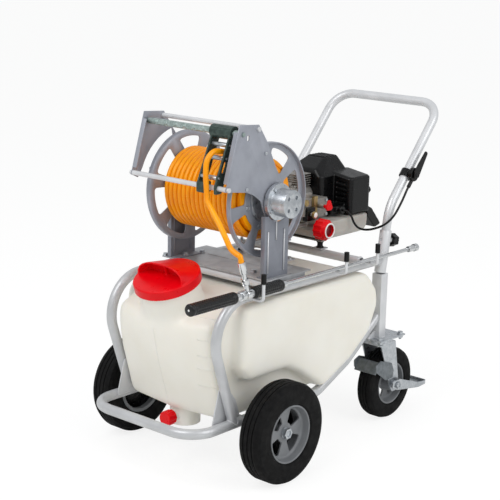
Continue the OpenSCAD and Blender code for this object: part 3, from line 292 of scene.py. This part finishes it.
# castings and mouldings: the size of the skin's grid in millimetres, and how often it is smoothed
MOULDED = {
    (1.6, 5): "shroud",
    (2.2, 12): "fuel_tank",
    (1.2, 2): "crankcase pump lid",
    (1.4, 3): "sump",
    (1.3, 2): "hub_near hub_far caster_hub_near caster_hub_far",
    (0.9, 2): "drain_cap carriage clamp_knob_near clamp_knob_far",
    (0.8, 2): "pressure_knob throttle_body throttle_lever hook_caps engine_mounts",
    (0.6, 2): "relief_lever air_knob",
}


def edge_smoothing():
    """Nodes that shade a form smoothly between its sharp edges."""
    tree = bpy.data.node_groups.new("edge_smoothing", "GeometryNodeTree")
    for way in ("INPUT", "OUTPUT"):
        tree.interface.new_socket("Geometry", in_out=way, socket_type="NodeSocketGeometry")
    start, end = tree.nodes.new("NodeGroupInput"), tree.nodes.new("NodeGroupOutput")
    plain = tree.nodes.new("GeometryNodeRemoveAttribute")
    plain.inputs["Name"].default_value = "custom_normal"
    faces, edges = (tree.nodes.new("GeometryNodeSetShadeSmooth") for _ in range(2))
    edges.domain, edges.inputs["Shade Smooth"].default_value = "EDGE", False
    angle = tree.nodes.new("GeometryNodeInputMeshEdgeAngle")
    sharp = tree.nodes.new("FunctionNodeCompare")
    sharp.operation, sharp.inputs[1].default_value = "GREATER_THAN", SHARP
    tree.links.new(start.outputs[0], plain.inputs[0])
    tree.links.new(plain.outputs[0], faces.inputs[0])
    tree.links.new(faces.outputs[0], edges.inputs[0])
    tree.links.new(angle.outputs[0], sharp.inputs[0])
    tree.links.new(sharp.outputs[0], edges.inputs["Selection"])
    tree.links.new(edges.outputs[0], end.inputs[0])
    return tree


def break_edges(form, width, smoothing):
    form.modifiers.new("joined", "WELD").merge_threshold = 0.01 * MM
    flat = form.modifiers.new("flat", "DECIMATE")
    flat.decimate_type, flat.angle_limit = "DISSOLVE", FLAT
    broken = form.modifiers.new("broken_edges", "BEVEL")
    broken.width, broken.segments, broken.angle_limit = width * MM, 2, SHARP
    form.modifiers.new("shading", "NODES").node_group = smoothing


def add_skin(form, voxel, rounds):
    """One skin round overlapping solids, with softened edges, as a mould leaves it."""
    skin = form.modifiers.new("skin", "REMESH")
    skin.mode, skin.voxel_size, skin.use_smooth_shade = "VOXEL", voxel * MM, True
    soften = form.modifiers.new("soften", "SMOOTH")
    soften.factor, soften.iterations = 0.5, rounds


def soften_forms():
    smoothing = edge_smoothing()
    for width, nodes in BROKEN.items():
        for name in nodes.split():
            break_edges(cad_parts[name], width, smoothing)
    for (voxel, rounds), nodes in MOULDED.items():
        for name in nodes.split():
            add_skin(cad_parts[name], voxel, rounds)


soften_forms()


# ---------- mesh helpers ----------
def piece(name, mesh, finish_name, body, *replaced, smooth=True):
    """A new object of the cart from a mesh or a curve, with its finish and the body that it rides on."""
    made = bpy.data.objects.new(name, mesh)
    bpy.context.scene.collection.objects.link(made)
    wear(made, finish_name)
    if smooth and made.type == "MESH":
        for polygon in made.data.polygons:
            polygon.use_smooth = True
    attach(made, body)
    if replaced:
        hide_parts(*replaced)
    return made


def mesh_from(name, draw):
    """A mesh that a function draws."""
    made = bmesh.new()
    draw(made)
    mesh = bpy.data.meshes.new(name)
    bmesh.ops.recalc_face_normals(made, faces=made.faces)
    made.to_mesh(mesh)
    made.free()
    return mesh


def drawn(name, draw, finish_name, body, *replaced, smooth=True):
    """A new piece that a function draws."""
    return piece(name, mesh_from(name, draw), finish_name, body, *replaced, smooth=smooth)


def hulls(groups, name):
    """Closed skins round groups of balls, each ball a point of the cart and a radius."""
    made = bmesh.new()
    for balls in groups:
        part = bmesh.new()
        for point, radius in balls:
            place = Matrix.Translation(at(*point))
            bmesh.ops.create_icosphere(part, subdivisions=3, radius=radius * MM, matrix=place)
        hull = bmesh.ops.convex_hull(part, input=part.verts)
        spare = hull["geom_interior"] + hull["geom_unused"]
        inner = {item for item in spare if isinstance(item, bmesh.types.BMVert)}
        bmesh.ops.delete(part, geom=list(inner), context="VERTS")
        scrap = bpy.data.meshes.new("scrap")
        part.to_mesh(scrap)
        part.free()
        made.from_mesh(scrap)
        bpy.data.meshes.remove(scrap)
    mesh = bpy.data.meshes.new(name)
    made.to_mesh(mesh)
    made.free()
    return mesh


def settled(form):
    """The mesh of an object with its modifiers applied."""
    return bpy.data.meshes.new_from_object(form.evaluated_get(bpy.context.evaluated_depsgraph_get()))


def scrap_object(mesh):
    scrap = bpy.data.objects.new("scrap", mesh)
    bpy.context.scene.collection.objects.link(scrap)
    return scrap


def moulded(mesh, voxel, rounds):
    """One skin round overlapping solids, with softened edges, as a new mesh."""
    scrap = scrap_object(mesh)
    add_skin(scrap, voxel, rounds)
    result = settled(scrap)
    bpy.data.objects.remove(scrap)
    return result


def relaxed(mesh, share, rounds):
    """A mesh smoothed further, each point by its share from 0 to 1."""
    scrap = scrap_object(mesh)
    group = scrap.vertex_groups.new(name="share")
    for vertex in mesh.vertices:
        group.add([vertex.index], share(vertex.co), "REPLACE")
    soften = scrap.modifiers.new("soften", "SMOOTH")
    soften.factor, soften.iterations, soften.vertex_group = 0.5, rounds, "share"
    result = settled(scrap)
    bpy.data.objects.remove(scrap)
    return result


def smooth_line(points, steps):
    """Points along a smooth line through the given ones, that number of steps to each."""
    line = []
    last = len(points) - 1
    for i in range(last):
        a, b, c, d = (Vector(points[min(max(k, 0), last)]) for k in (i - 1, i, i + 1, i + 2))
        for j in range(steps + (i == last - 1)):
            t = j / steps
            curve = t * (c - a) + t * t * (2 * a - 5 * b + 4 * c - d) + t**3 * (3 * b - a - 3 * c + d)
            line.append(0.5 * (2 * b + curve))
    return line


def tube_curve(name, points, diameter, sides):
    """A round line of that diameter along points of the cart."""
    curve = bpy.data.curves.new(name, "CURVE")
    curve.dimensions = "3D"
    curve.bevel_depth, curve.bevel_resolution, curve.use_fill_caps = diameter / 2 * MM, sides, True
    line = curve.splines.new("POLY")
    line.points.add(len(points) - 1)
    for spot, point in zip(line.points, points):
        spot.co = (*at(*point), 1)
    return curve


def facing(axis, origin, turn=0.0):
    """A place at a point of the cart whose +Z looks along that axis."""
    look = Vector(axis).to_track_quat("Z", "Y").to_matrix().to_4x4()
    return Matrix.Translation(at(*origin)) @ look @ Matrix.Rotation(turn, 4, "Z")


def turned(made, profile, place, segments, shape=None):
    """A turned form: profile holds (radius, height) from one end to the other, shape may bend each point."""
    rings = []
    for radius, height in profile:
        if radius <= 0:
            rings.append([made.verts.new(place @ Vector((0, 0, height * MM)))])
            continue
        ring = []
        for i in range(segments):
            a = 2 * math.pi * i / segments
            r, h = shape(a, radius, height) if shape else (radius, height)
            ring.append(made.verts.new(place @ (Vector((r * math.cos(a), r * math.sin(a), h)) * MM)))
        rings.append(ring)
    for low, high in zip(rings, rings[1:]):
        for i in range(segments):
            j = (i + 1) % segments
            corners = [low[i % len(low)], low[j % len(low)], high[j % len(high)], high[i % len(high)]]
            corners = [corner for k, corner in enumerate(corners) if corner not in corners[:k]]
            if len(corners) > 2:
                made.faces.new(corners)
    for ring in (rings[0], rings[-1]):
        if len(ring) > 2:
            made.faces.new(ring)


def swept(made, points, radii, sides, closed=False):
    """A round bar along points of the cart; radii is one number or one for each point."""
    points = [at(*point) for point in points]
    count = len(points)
    radii = [radii] * count if isinstance(radii, (int, float)) else radii
    angles = [2 * math.pi * k / sides for k in range(sides)]
    side = None
    rings = []
    for i, point in enumerate(points):
        before = points[i - 1] if i or closed else point
        after = points[(i + 1) % count] if i < count - 1 or closed else point
        along = (after - before).normalized()
        if side is None:
            side = along.orthogonal().normalized()
        side = (side - along * side.dot(along)).normalized()
        other = along.cross(side)
        spokes = [(side * math.cos(a) + other * math.sin(a)) * radii[i] * MM for a in angles]
        rings.append([made.verts.new(point + spoke) for spoke in spokes])
    for i in range(count if closed else count - 1):
        low, high = rings[i], rings[(i + 1) % count]
        shift = 0
        if closed and i == count - 1:
            shift = min(range(sides), key=lambda s: (low[0].co - high[s].co).length)
        for k in range(sides):
            m = (k + 1) % sides
            made.faces.new((low[k], low[m], high[(m + shift) % sides], high[(k + shift) % sides]))
    if not closed:
        made.faces.new(rings[0][::-1])
        made.faces.new(rings[-1])


# ---------- hose, winding and cable ----------
HOSE_D, HOSE_LOOPS, CABLE_D = 13.4, 17, 6
CORE_R = 86  # the hidden layers of hose
REEL = Vector((92, 0, 656))
DISC_NEAR, DISC_FAR = -102, 146.5  # hose sides of the reel's discs
PITCH = (DISC_FAR - DISC_NEAR) / (HOSE_LOOPS + 0.02)
# centre line of the outer hose layer, whose coil of 24 straight steps to a turn still clears the core
WIND_R = (CORE_R + HOSE_D / 2 + SEAT) / math.cos(math.radians(7.5))
GATE = Vector((-46, 0, 785))  # where the hose passes the carriage's rollers
WIND_START = math.atan2(GATE.z - REEL.z, GATE.x - REEL.x) - math.acos(WIND_R / (GATE - REEL).length)
LEAD_IN = Vector((-math.sin(WIND_START), 0, math.cos(WIND_START)))
LEAD_H = 56  # the straight hose leaves the drum past the reach of the turning coil
COIL_STEPS, LINE_STEPS = 48, 6  # steps to a turn of the coil, and from point to point of a free line


def coil(turns):
    a = WIND_START - 2 * math.pi * turns
    across = DISC_NEAR + PITCH / 2 + PITCH * turns
    return Vector((REEL.x + WIND_R * math.cos(a), across, REEL.z + WIND_R * math.sin(a)))


coil_end = (HOSE_LOOPS - 1) * COIL_STEPS
wound = [coil(0) + LEAD_IN * LEAD_H] + [coil(i / COIL_STEPS) for i in range(coil_end + 1)]
wound.append(wound[-1] - LEAD_IN * HOSE_D)

# the hose from the drum through the carriage, and on to the lance's inlet, which leans forward
HAND_OVER, HANG = Vector((-95, -86, 690)), Vector((-0.035, -0.13, -0.99))
LANCE_Y, LANCE_Z = -HALF_W - 32, 472
INLET, INLET_LEAN, INLET_H = Vector((-84, LANCE_Y, LANCE_Z + 6)), math.radians(17), 78
FERRULE_DIR = Vector((-math.sin(INLET_LEAN), 0, math.cos(INLET_LEAN)))
FERRULE_TOP = INLET + INLET_H * FERRULE_DIR
STRAIGHT = 14  # how far a free hose runs straight from each end
guided = [coil(0) + LEAD_IN * LEAD_H]
guided += smooth_line([coil(0) + LEAD_IN * (LEAD_H + 16), (12, -91, 771.5), (GATE.x, -84, GATE.z),
    (-72, -82, 785), (-89, -80, 768), (-93, -80, 744), (-94, -82, 720), HAND_OVER - STRAIGHT * HANG],
    LINE_STEPS)
guided.append(HAND_OVER)
hanging = [HAND_OVER]
hanging += smooth_line([HAND_OVER + STRAIGHT * HANG, (-97, -100, 662), (-104, -130, 635), (-109, -158, 604),
    (-110, -178, 578), FERRULE_TOP + STRAIGHT * FERRULE_DIR], LINE_STEPS)
hanging.append(FERRULE_TOP)

# the throttle cable, from the lever's body on the handle's near leg down to the engine
KNEE, BAR_AT = Vector((510, 0, 587)), Vector((728, 0, 840.7))
UP_DIR = (BAR_AT - KNEE).normalized()
THROTTLE_S = 106  # the throttle, along the upper leg from the knee
cable_top = KNEE + UP_DIR * (THROTTLE_S - 34) + Vector((4, -HALF_W - 22, -4))
cable_line = [cable_top]
cable_line += smooth_line([cable_top - 10 * UP_DIR, (532, -198, 602), (502, -197, 570), (482, -184, 548),
    (476, -156, 533), (480, -124, 524), (484, -98, 524), (482, -84, 536), (478, -77, 553), (474, -64, 566)],
    LINE_STEPS)
cable_line.append(Vector((474, -52, 566)))


def hose(name, points, body, replaced):
    return piece(name, tube_curve(name, points, HOSE_D, 6), "hose_pvc", body, replaced)


hose_wound = hose("hose_wound", wound, "drum", "hose_winding")
hose_guided = hose("hose_guided", guided, "carriage", "hose_guide_run")
hose_hanging = hose("hose_hanging", hanging, "frame", "hose_run")
cable = piece("throttle_cable_sheath", tube_curve("throttle_cable_sheath", cable_line, CABLE_D, 4),
    "black_plastic", "frame", "throttle_cable")

# ---------- tank ----------
TANK_R = 18  # round of the tank's edges
TANK_HALF, BULGE_HALF = 158, 202  # half the width of the core, and over the side bulges
BULGE_ROOT = TANK_HALF - 40  # where the bulges start, inside the core
SEAT_R = TUBE_R + 0.6 + TANK_R  # from the middle of a loop's tube to the middle of the tank's edge
RAIL_LOW = [(0, LOOP_Z), (225, LOOP_Z), (345, LOOP_Z + 56), (476, LOOP_Z + 151)]
RAIL_DIR = (0.81, 0.587)  # the loop's last stretch, going up


def over_rail(direction, bend, point):
    """The middle of the tank's edge where it rests on a bend of the loop, from degrees."""
    reach = SEAT_R / math.cos(math.radians(bend / 2))
    slope = math.radians(direction)
    return (point[0] - reach * math.sin(slope), point[1] + reach * math.cos(slope))


SEAT_1, SEAT_2 = over_rail(12.5, 25, RAIL_LOW[1]), over_rail(30.5, 11, RAIL_LOW[2])
SEAT_3 = (RAIL_LOW[2][0] + 93 * RAIL_DIR[0] - SEAT_R * RAIL_DIR[1],
    RAIL_LOW[2][1] + 93 * RAIL_DIR[1] + SEAT_R * RAIL_DIR[0])
# the balls' middles in a side view, behind the axle and above the floor
REAR_LINE = [(431, 345), (426, 378), (392, 416)]
CORE_LINE = [(-137, 382), (-136, 331), (-124, 284), (-95, 181), (-90, 169), (195, 169),
    SEAT_1, SEAT_2, SEAT_3, *REAR_LINE, (-56, 416)]
NOSE_LINE = [(-167, 370), (-147, 286), (-113, 176), (-108, 169)]
ARCH_LINE = [(84, 268), (139, 244)]
BULGES = [
    [(-67, 395), (-67, 292), (-47, 268), ARCH_LINE[0], (84, 416), (-56, 416)],
    [ARCH_LINE[0], ARCH_LINE[1], (139, 416), (84, 416)],
    [ARCH_LINE[1], (229, 185.5), SEAT_2, SEAT_3, *REAR_LINE, (139, 416)],
]
LID_AT, LID_TILT = Vector((-132, 0, 467.5)), math.radians(18.5)
LID_PLACE = Matrix.Translation(at(*LID_AT)) @ Matrix.Rotation(-LID_TILT, 4, "Y")
NECK_R, BORE_R = 74.5, 66  # the filler neck, outside and inside


def tank_groups():
    """The balls of the tank's core with its nose, and of its side bulges."""
    core = [((x, side * (TANK_HALF - TANK_R), z), TANK_R) for x, z in CORE_LINE for side in (-1, 1)]
    groups = [core + [((x, 0, z), TANK_R) for x, z in NOSE_LINE]]
    for side in (-1, 1):
        for line in BULGES:
            across = (side * BULGE_ROOT, side * (BULGE_HALF - TANK_R))
            groups.append([((x, y, z), TANK_R) for x, z in line for y in across])
    return groups


def on_lid_axis(made, radius, depth, middle):
    """A cylinder on the lid's axis, its middle at that height from the lid's place."""
    place = LID_PLACE @ Matrix.Translation((0, 0, middle * MM))
    bmesh.ops.create_cone(made, cap_ends=True, segments=96, radius1=radius * MM, radius2=radius * MM,
        depth=depth * MM, matrix=place)


def ramp_up(value, low, high):
    """From 0 at low to 1 at high, smoothly."""
    t = min(max((value - low) / (high - low), 0), 1)
    return t * t * (3 - 2 * t)


def shoulder_share(spot):
    """How far a point of the tank is smoothed: fully round the front shoulders, not at all on the neck."""
    local = LID_PLACE.inverted() @ spot / MM
    below_lid = ramp_up(-local.z, 24, 60)
    off_axis = ramp_up(math.hypot(local.x, local.y), 78, 96)
    ahead = ramp_up(-(spot.x / MM - AXLE_X), 20, 70)
    high_up = ramp_up(spot.z / MM, 270, 330)
    return max(0.2, ahead * high_up) * max(below_lid, off_axis)


def tank_mesh():
    """The tank's core, bulges and neck under one skin."""
    mesh = hulls(tank_groups(), "tank_shell")
    with_neck = bmesh.new()
    with_neck.from_mesh(mesh)
    on_lid_axis(with_neck, NECK_R, 80, -26)
    with_neck.to_mesh(mesh)
    with_neck.free()
    mesh = moulded(mesh, 3, 8)
    return relaxed(mesh, shoulder_share, 196)


def cut_filler_bore(tank):
    """Opens the neck under the lid."""
    bore = bpy.data.objects.new("bore", mesh_from("bore", lambda made: on_lid_axis(made, BORE_R, 90, -10)))
    bpy.context.scene.collection.objects.link(bore)
    cut = tank.modifiers.new("bore", "BOOLEAN")
    cut.operation, cut.solver, cut.object = "DIFFERENCE", "EXACT", bore
    opened = settled(tank)
    tank.modifiers.remove(cut)
    tank.data = opened
    bpy.data.objects.remove(bore)


tank_shell = piece("tank_shell", tank_mesh(), "tank_polyethylene", "frame", "tank")
cut_filler_bore(tank_shell)
tank_skin = BVHTree.FromObject(tank_shell, bpy.context.evaluated_depsgraph_get())


def on_tank(start, towards):
    """The point of the tank's skin that a line between two points of the cart meets first."""
    a, b = at(*start), at(*towards)
    spot = tank_skin.ray_cast(a, (b - a).normalized())[0]
    return Vector((spot.x / MM - AXLE_X, spot.y / MM, spot.z / MM)) if spot else None


def parting_line(made):
    """The ridge that the mould's halves leave round the middle, open at the neck."""
    middle, reach, steps = (150, 0, 300), 600, 220
    seam = []
    for i in range(steps):
        a = 2 * math.pi * i / steps
        seam.append(on_tank((middle[0] + reach * math.cos(a), 0, middle[2] + reach * math.sin(a)), middle))
    seam = [point for point in seam if point and (point - LID_AT).length > 110]
    first = max(range(len(seam)), key=lambda i: (seam[i] - seam[i - 1]).length)
    swept(made, seam[first:] + seam[:first], 0.7, 8)


def level_marks(made):
    """Short ridges at even heights on the near front corner."""
    for z in (240, 285, 320, 360, 405):
        shifts = [8 * k for k in range(-2, 3)]
        ridge = [on_tank((-600 + shift, -420 - shift, z), (-20 + shift, -60 - shift, z)) for shift in shifts]
        swept(made, [point for point in ridge if point], 1.1, 8)


def tank_marks(made):
    parting_line(made)
    level_marks(made)


drawn("tank_marks", tank_marks, "tank_polyethylene", "frame")

# ---------- bolts and nuts ----------
CHAMFER_FROM, CHAMFER_SLOPE = 0.94, 0.55  # a head's chamfer starts at this share of its half width
WASHER_T, THREAD = 1.5, 0.6  # thickness of a washer, and from ridge to ridge of a thread
# fasteners: across the flats, height, width of the washer and height of the stud
M8_HEAD, M8_NUT, M8_MOUNT_NUT = (13, 5.3, 17), (13, 6.5, 0, 4), (13, 6.5, 18, 5)
M6_HEAD, M5_HEAD, M5_WASHERED = (10, 4, 14), (8, 3.5), (8, 3.5, 12)
PUMP_HEAD, PUMP_WASHERED = (8, 4), (8, 4, 12)


def hexed(across):
    """Bends a turned form to a hexagon of that size across its flats, with a chamfer round its top."""
    half = across / 2

    def shape(angle, radius, height):
        flat = half / math.cos((angle + math.pi / 6) % (math.pi / 3) - math.pi / 6)
        reach = min(flat, radius)
        drop = max(0, reach - half * CHAMFER_FROM) * CHAMFER_SLOPE
        return reach, height - drop if height > 0 else height

    return shape


def fastener(made, place, across, height, washer=0, stud=0):
    """A hex head, or a nut where the screw's stud shows, on a washer."""
    if washer:
        rim = washer / 2
        disc = [(0, 0), (rim - 0.3, 0), (rim, 0.3), (rim, 1.1), (rim - 0.4, WASHER_T), (0, WASHER_T)]
        turned(made, disc, place, 32)
        place = place @ Matrix.Translation((0, 0, WASHER_T * MM))
    wide, dished, floor = across / 1.6, across * 0.42, height - 0.2
    head = [(0, 0), (wide, 0), (wide, height), (dished, height), (across * 0.3, floor), (0, floor)]
    turned(made, head, place, 36, hexed(across))
    if stud:
        radius, tip = across * 0.29, height + stud
        rings = []
        for i in range(int(stud / THREAD)):
            rings += [(radius, height + THREAD * i), (radius * 0.88, height + THREAD * i + THREAD / 2)]
        turned(made, [(0, height - 0.5)] + rings + [(radius * 0.7, tip), (0, tip)], place, 24)


def bolted(name, body, spots):
    """Zinc-plated heads and nuts; a spot is the axis, the point and the sizes of the fastener."""

    def draw(made):
        for axis, point, sizes in spots:
            fastener(made, facing(axis, point, random.uniform(0, 1)), *sizes)

    drawn(name, draw, "zinc_plate", body, smooth=False)


def frame_spots():
    """The screws of the caster plates with their nuts below, and two on the back of each rear column."""
    spots = []
    for side in (-1, 1):
        for x in (460, 550):
            for y in (127, 203):
                spots.append((UP, (x, side * y, PLATE_TOP), M8_HEAD))
                spots.append((DOWN, (x, side * y, PLATE_TOP - 4), M8_NUT))
        spots += [(BACK, (COLUMN_BACK, side * HALF_W, z), M6_HEAD) for z in (270, 300)]
    return spots


def round_hub(radius, y, first, count, sizes):
    """Heads on a circle round the drum's shaft."""
    angles = [math.radians(first + 360 / count * k) for k in range(count)]
    return [(NEAR, (REEL.x + radius * math.cos(a), y, REEL.z + radius * math.sin(a)), sizes) for a in angles]


# screws in the posts' feet and the deck, from above
DECK_SCREWS = ((83, 152, FOOT_TOP), (60, -130, FOOT_TOP), (114, -130, FOOT_TOP), (139, 146, DECK_TOP),
    (48, 187, DECK_TOP), (81, -83, DECK_TOP), (245, -58, DECK_TOP), (245, 72, DECK_TOP))
bolted("frame_bolts", "frame", frame_spots())
bolted("reel_frame_bolts", "frame", [(UP, point, M8_HEAD) for point in DECK_SCREWS]
    + [(NEAR, (-14, -136, 698), M5_HEAD), (NEAR, (52, -136, 776), M5_HEAD), (FAR, (-14, 179, 706), M5_HEAD)])
bolted("hub_bolts", "drum",
    round_hub(38.5, -151, 33, 4, PUMP_HEAD) + round_hub(66, -104.5, 12, 6, M5_WASHERED))
bolted("engine_bolts", "frame", [(UP, (237, y, MOUNT_TOP), M8_MOUNT_NUT) for y in (-30, 96)]
    + [(NEAR, (x, -34, z), PUMP_WASHERED) for x, z in ((308, 574), (368, 604), (352, 574))]
    + [(NEAR, (x, -30, z), PUMP_HEAD) for x, z in ((426, 561), (426, 598), (384, 561))])

# ---------- welds ----------
RIPPLE, UNEVEN = 0.16, 0.06  # shares of a bead's radius
RIPPLE_TURN = 2.1  # radians from point to point


def weld(made, points, width, closed=True):
    """A bead of weld along points of the cart, with its ripples."""
    radii = []
    for i in range(len(points)):
        radii.append(width / 2 * (1 + RIPPLE * math.sin(i * RIPPLE_TURN) + random.uniform(-UNEVEN, UNEVEN)))
    swept(made, points, radii, 8, closed)


def circle_round(centre, axis, radius, count=40):
    """Points of a circle round an axis at a point of the cart."""
    along = Vector(axis).normalized()
    side = along.orthogonal().normalized()
    other = along.cross(side)
    angles = [2 * math.pi * i / count for i in range(count)]
    return [Vector(centre) + (side * math.cos(a) + other * math.sin(a)) * radius for a in angles]


def saddle(centre, axis, radius, level):
    """Points of a weld where a tube in a side plane meets a level tube of the same size along the cart."""
    count = 44
    along = Vector(axis).normalized()
    across = Vector(FAR)
    other = along.cross(across)
    points = []
    for i in range(count):
        a = 2 * math.pi * i / count
        point = Vector(centre) + (across * math.cos(a) + other * math.sin(a)) * radius
        rise = math.sqrt(max(radius**2 - (point.y - centre[1]) ** 2, 0)) + level - point.z
        points.append(point + along * rise / along.z)
    return points


def round_outline(corners, steps):
    """Points round a closed outline, that number of steps to each side."""
    points = []
    for start, end in zip(corners, corners[1:] + corners[:1]):
        points += [Vector(start) + (Vector(end) - Vector(start)) * t / steps for t in range(steps)]
    return points


def weld_seams(made):
    """Beads at the arches' feet, the cross tubes, the columns, the plates inside the arches and the hooks."""
    up_arch = Vector((-95, 0, 281))
    hook_feet = ((-52, 12.8, 453.2), (262, 7.2, 462.7), (392, 7.2, 462.7))
    for side in (-1, 1):
        y = side * HALF_W
        weld(made, saddle((-96, y, 171), up_arch, TUBE_R + 0.4, LOOP_Z), 3.4)
        for x in CROSS_X:
            end = (x, side * (HALF_W - TUBE_R + SEAT), CROSS_Z)
            weld(made, circle_round(end, FAR, CROSS_R + SEAT), 3)
        low, high = y - COLUMN_HALF, y + COLUMN_HALF
        corners = ((COLUMN_FRONT, low), (COLUMN_BACK, low), (COLUMN_BACK, high), (COLUMN_FRONT, high))
        weld(made, round_outline([(x, edge, PLATE_TOP + 0.4) for x, edge in corners], 9), 3.2)
        weld(made, [Vector((-145 + 94 * k / 30, side * 158.4, LOOP_Z + 3)) for k in range(31)], 2.4, False)
    for x, out, z in hook_feet:
        weld(made, circle_round((x, -HALF_W - out, z), FAR, 4.5, 20), 2.2)


drawn("weld_seams", weld_seams, "silver_enamel", "frame")

# ---------- grips of the lance ----------
GRIP_R, BAND, RISE = 14.5, 14, 4  # the flutes start past the plain band and deepen over the rise
FLUTES, FLUTE_DEPTH = 12, 1.5
RIB_DEPTH, RIB_TURN = 0.25, 0.9  # fine ribs across the flutes, and radians to a millimetre
FRONT_GRIP, REAR_GRIP = (-278, 151), (-65, 102)  # where each starts, and its length


def grip(made, start, length):
    """A round grip along the lance with a plain band at each end and flutes between them."""
    heights = [BAND + (length - 2 * BAND) * k / 48 for k in range(49)]
    profile = [(0, 0), (10.5, 0), (13, 0.8), (14.3, 3), (GRIP_R, 5)]
    profile += [(GRIP_R, 9.6), (13.9, 10.6), (GRIP_R, 11.8)] + [(GRIP_R, height) for height in heights]
    profile += [(GRIP_R, length - 11.8), (13.9, length - 10.6), (GRIP_R, length - 9.6), (GRIP_R, length - 4)]
    profile += [(13.4, length - 0.8), (11, length), (0, length)]

    def flutes(a, radius, height):
        inward = ramp_up(height, BAND, BAND + RISE) * ramp_up(length - height, BAND, BAND + RISE)
        flute = FLUTE_DEPTH * (0.5 + 0.5 * math.cos(FLUTES * a))
        return radius - inward * (flute + RIB_DEPTH * math.sin(height * RIB_TURN)), height

    turned(made, profile, facing(BACK, (start, LANCE_Y, LANCE_Z)), 96, flutes)


def both_grips(made):
    grip(made, *FRONT_GRIP)
    grip(made, *REAR_GRIP)


def end_dot(made):
    spot = facing(FRONT, (FRONT_GRIP[0], LANCE_Y, LANCE_Z))
    turned(made, [(0, 0), (2.6, 0), (2.4, 0.5), (0, 0.7)], spot, 24)


drawn("fluted_grips", both_grips, "grip_vinyl", "frame", "lance_grips")
drawn("grip_end_dot", end_dot, "white_acetal", "frame")

# ---------- painted shade: black discs behind the main wheels' hub windows ---
WHEEL_Y = 252


def add_wheel_shade_disc(side, where):
    """A black disc behind the hub's windows, painted shade that makes them look dark."""
    spot = facing(FAR, (0, side * (WHEEL_Y - 16), AXLE_Z))

    def disc(made):
        turned(made, [(0, 0), (62.4, 0), (62.4, 1.2), (0, 1.2)], spot, 64)

    drawn("wheel_shade_disc_" + where, disc, "black_plastic", "wheel_" + where)


add_wheel_shade_disc(-1, "near")
add_wheel_shade_disc(1, "far")

# ---------- trim of the pump and the posts ----------
KNOB_X, KNOB_Z = 346, 539


def knob_ring(made):
    swept(made, circle_round((KNOB_X, -108.6, KNOB_Z), NEAR, 18.3, 48), 2.1, 10, True)


# painted shade: a dark red disc in the knob's sunk face
def knob_face(made):
    turned(made, [(0, 0), (16.1, 0), (15.8, 0.6), (0, 0.6)], facing(NEAR, (KNOB_X, -102, KNOB_Z)), 48)


def post_bead_highlights(made):
    """Painted highlights: pale bars along the three beads pressed in the near post."""
    for x, low, high in ((54, 486, 588), (83, 565, 620), (113, 486, 588)):
        swept(made, [(x, -149.6, low), (x, -149.6, high)], 1.7, 12)


def bypass_knob(made):
    """A small knob with a waist, on the pump's near face."""
    profile = [(0, 0), (5, 0), (5, 5), (7.6, 6), (8, 8), (8, 12.5), (7, 14), (0, 14.4)]
    turned(made, profile, facing(NEAR, (330, -60, 577)), 40)


def valve_body(made):
    """A block with rounded edges behind the bypass knob."""
    low, high, rounding = Vector((312, -60, 560)), Vector((346, -44, 594)), 2
    place = Matrix.Translation(at(*((high + low) / 2))) @ Matrix.Diagonal((*((high - low) * MM), 1))
    bmesh.ops.create_cube(made, size=1, matrix=place)
    bmesh.ops.bevel(made, geom=made.edges[:], offset=rounding * MM, segments=3, affect="EDGES", profile=0.5)


drawn("knob_ring", knob_ring, "white_acetal", "pressure_knob")
drawn("knob_face", knob_face, "red_plastic_painted_shade", "pressure_knob")
drawn("post_bead_highlights", post_bead_highlights, "silver_enamel", "frame")
drawn("bypass_knob", bypass_knob, "white_acetal", "frame")
drawn("valve_body", valve_body, "black_plastic", "frame")

# ---------- stage and light ----------
FLOOR_HALF = 60  # metres
FLOOR_WHITE, FLOOR_SHARE = 1.09, 0.76  # strength of the white that the camera sees, and its share
ROOM_GLOW = 0.62
LAMPS_AIM = Vector((0, 0, 0.4))  # metres


def make_stage():
    """A pale floor that looks white to the camera and keeps the cart's shadow."""

    def grid(made):
        bmesh.ops.create_grid(made, x_segments=1, y_segments=1, size=FLOOR_HALF)

    floor = bpy.data.objects.new("floor", mesh_from("floor", grid))
    bpy.context.scene.collection.objects.link(floor)
    material = bpy.data.materials.new("pale_floor")
    material.use_nodes = True
    tree = material.node_tree
    tree.nodes.clear()
    matt = add(tree, "BsdfDiffuse", {"Color": linear("F4F4F2")})
    white = add(tree, "Emission", {"Color": (1, 1, 1, 1), "Strength": FLOOR_WHITE})
    seen = add(tree, "LightPath").outputs["Is Camera Ray"]
    share = add(tree, "Math", {0: seen, 1: FLOOR_SHARE}, operation="MULTIPLY")
    add(tree, "OutputMaterial", {"Surface": add(tree, "MixShader", {0: share, 1: matt, 2: white})})
    floor.data.materials.append(material)


def make_world():
    """A soft even light, and white behind the cart."""
    world = bpy.data.worlds.new("studio")
    bpy.context.scene.world = world
    world.use_nodes = True
    tree = world.node_tree
    tree.nodes.clear()
    path = add(tree, "LightPath").outputs
    seen = add(tree, "Math", {0: path["Is Camera Ray"], 1: path["Is Transmission Ray"]}, operation="MAXIMUM")
    glow = add(tree, "Background", {"Color": (0.96, 0.98, 1, 1), "Strength": ROOM_GLOW})
    white = add(tree, "Background", {"Color": (1, 1, 1, 1), "Strength": 1.0})
    add(tree, "OutputWorld", {"Surface": add(tree, "MixShader", {0: seen, 1: glow, 2: white})})


def lamp(name, azimuth, elevation, distance, size, power):
    """A square soft box that looks at the middle of the cart, from degrees, metres and watts."""
    data = bpy.data.lights.new(name, "AREA")
    data.size, data.energy = size, power
    made = bpy.data.objects.new(name, data)
    back = outward(azimuth, elevation)
    made.location = LAMPS_AIM + back * distance
    made.rotation_mode = "QUATERNION"
    made.rotation_quaternion = (-back).to_track_quat("-Z", "Y")
    bpy.context.scene.collection.objects.link(made)


make_stage()
make_world()
lamp("key_box", azimuth=-95, elevation=48, distance=3.2, size=1.8, power=38)
lamp("fill_box", azimuth=5, elevation=35, distance=3.4, size=2.2, power=36)
bpy.context.scene.view_settings.view_transform = "Standard"
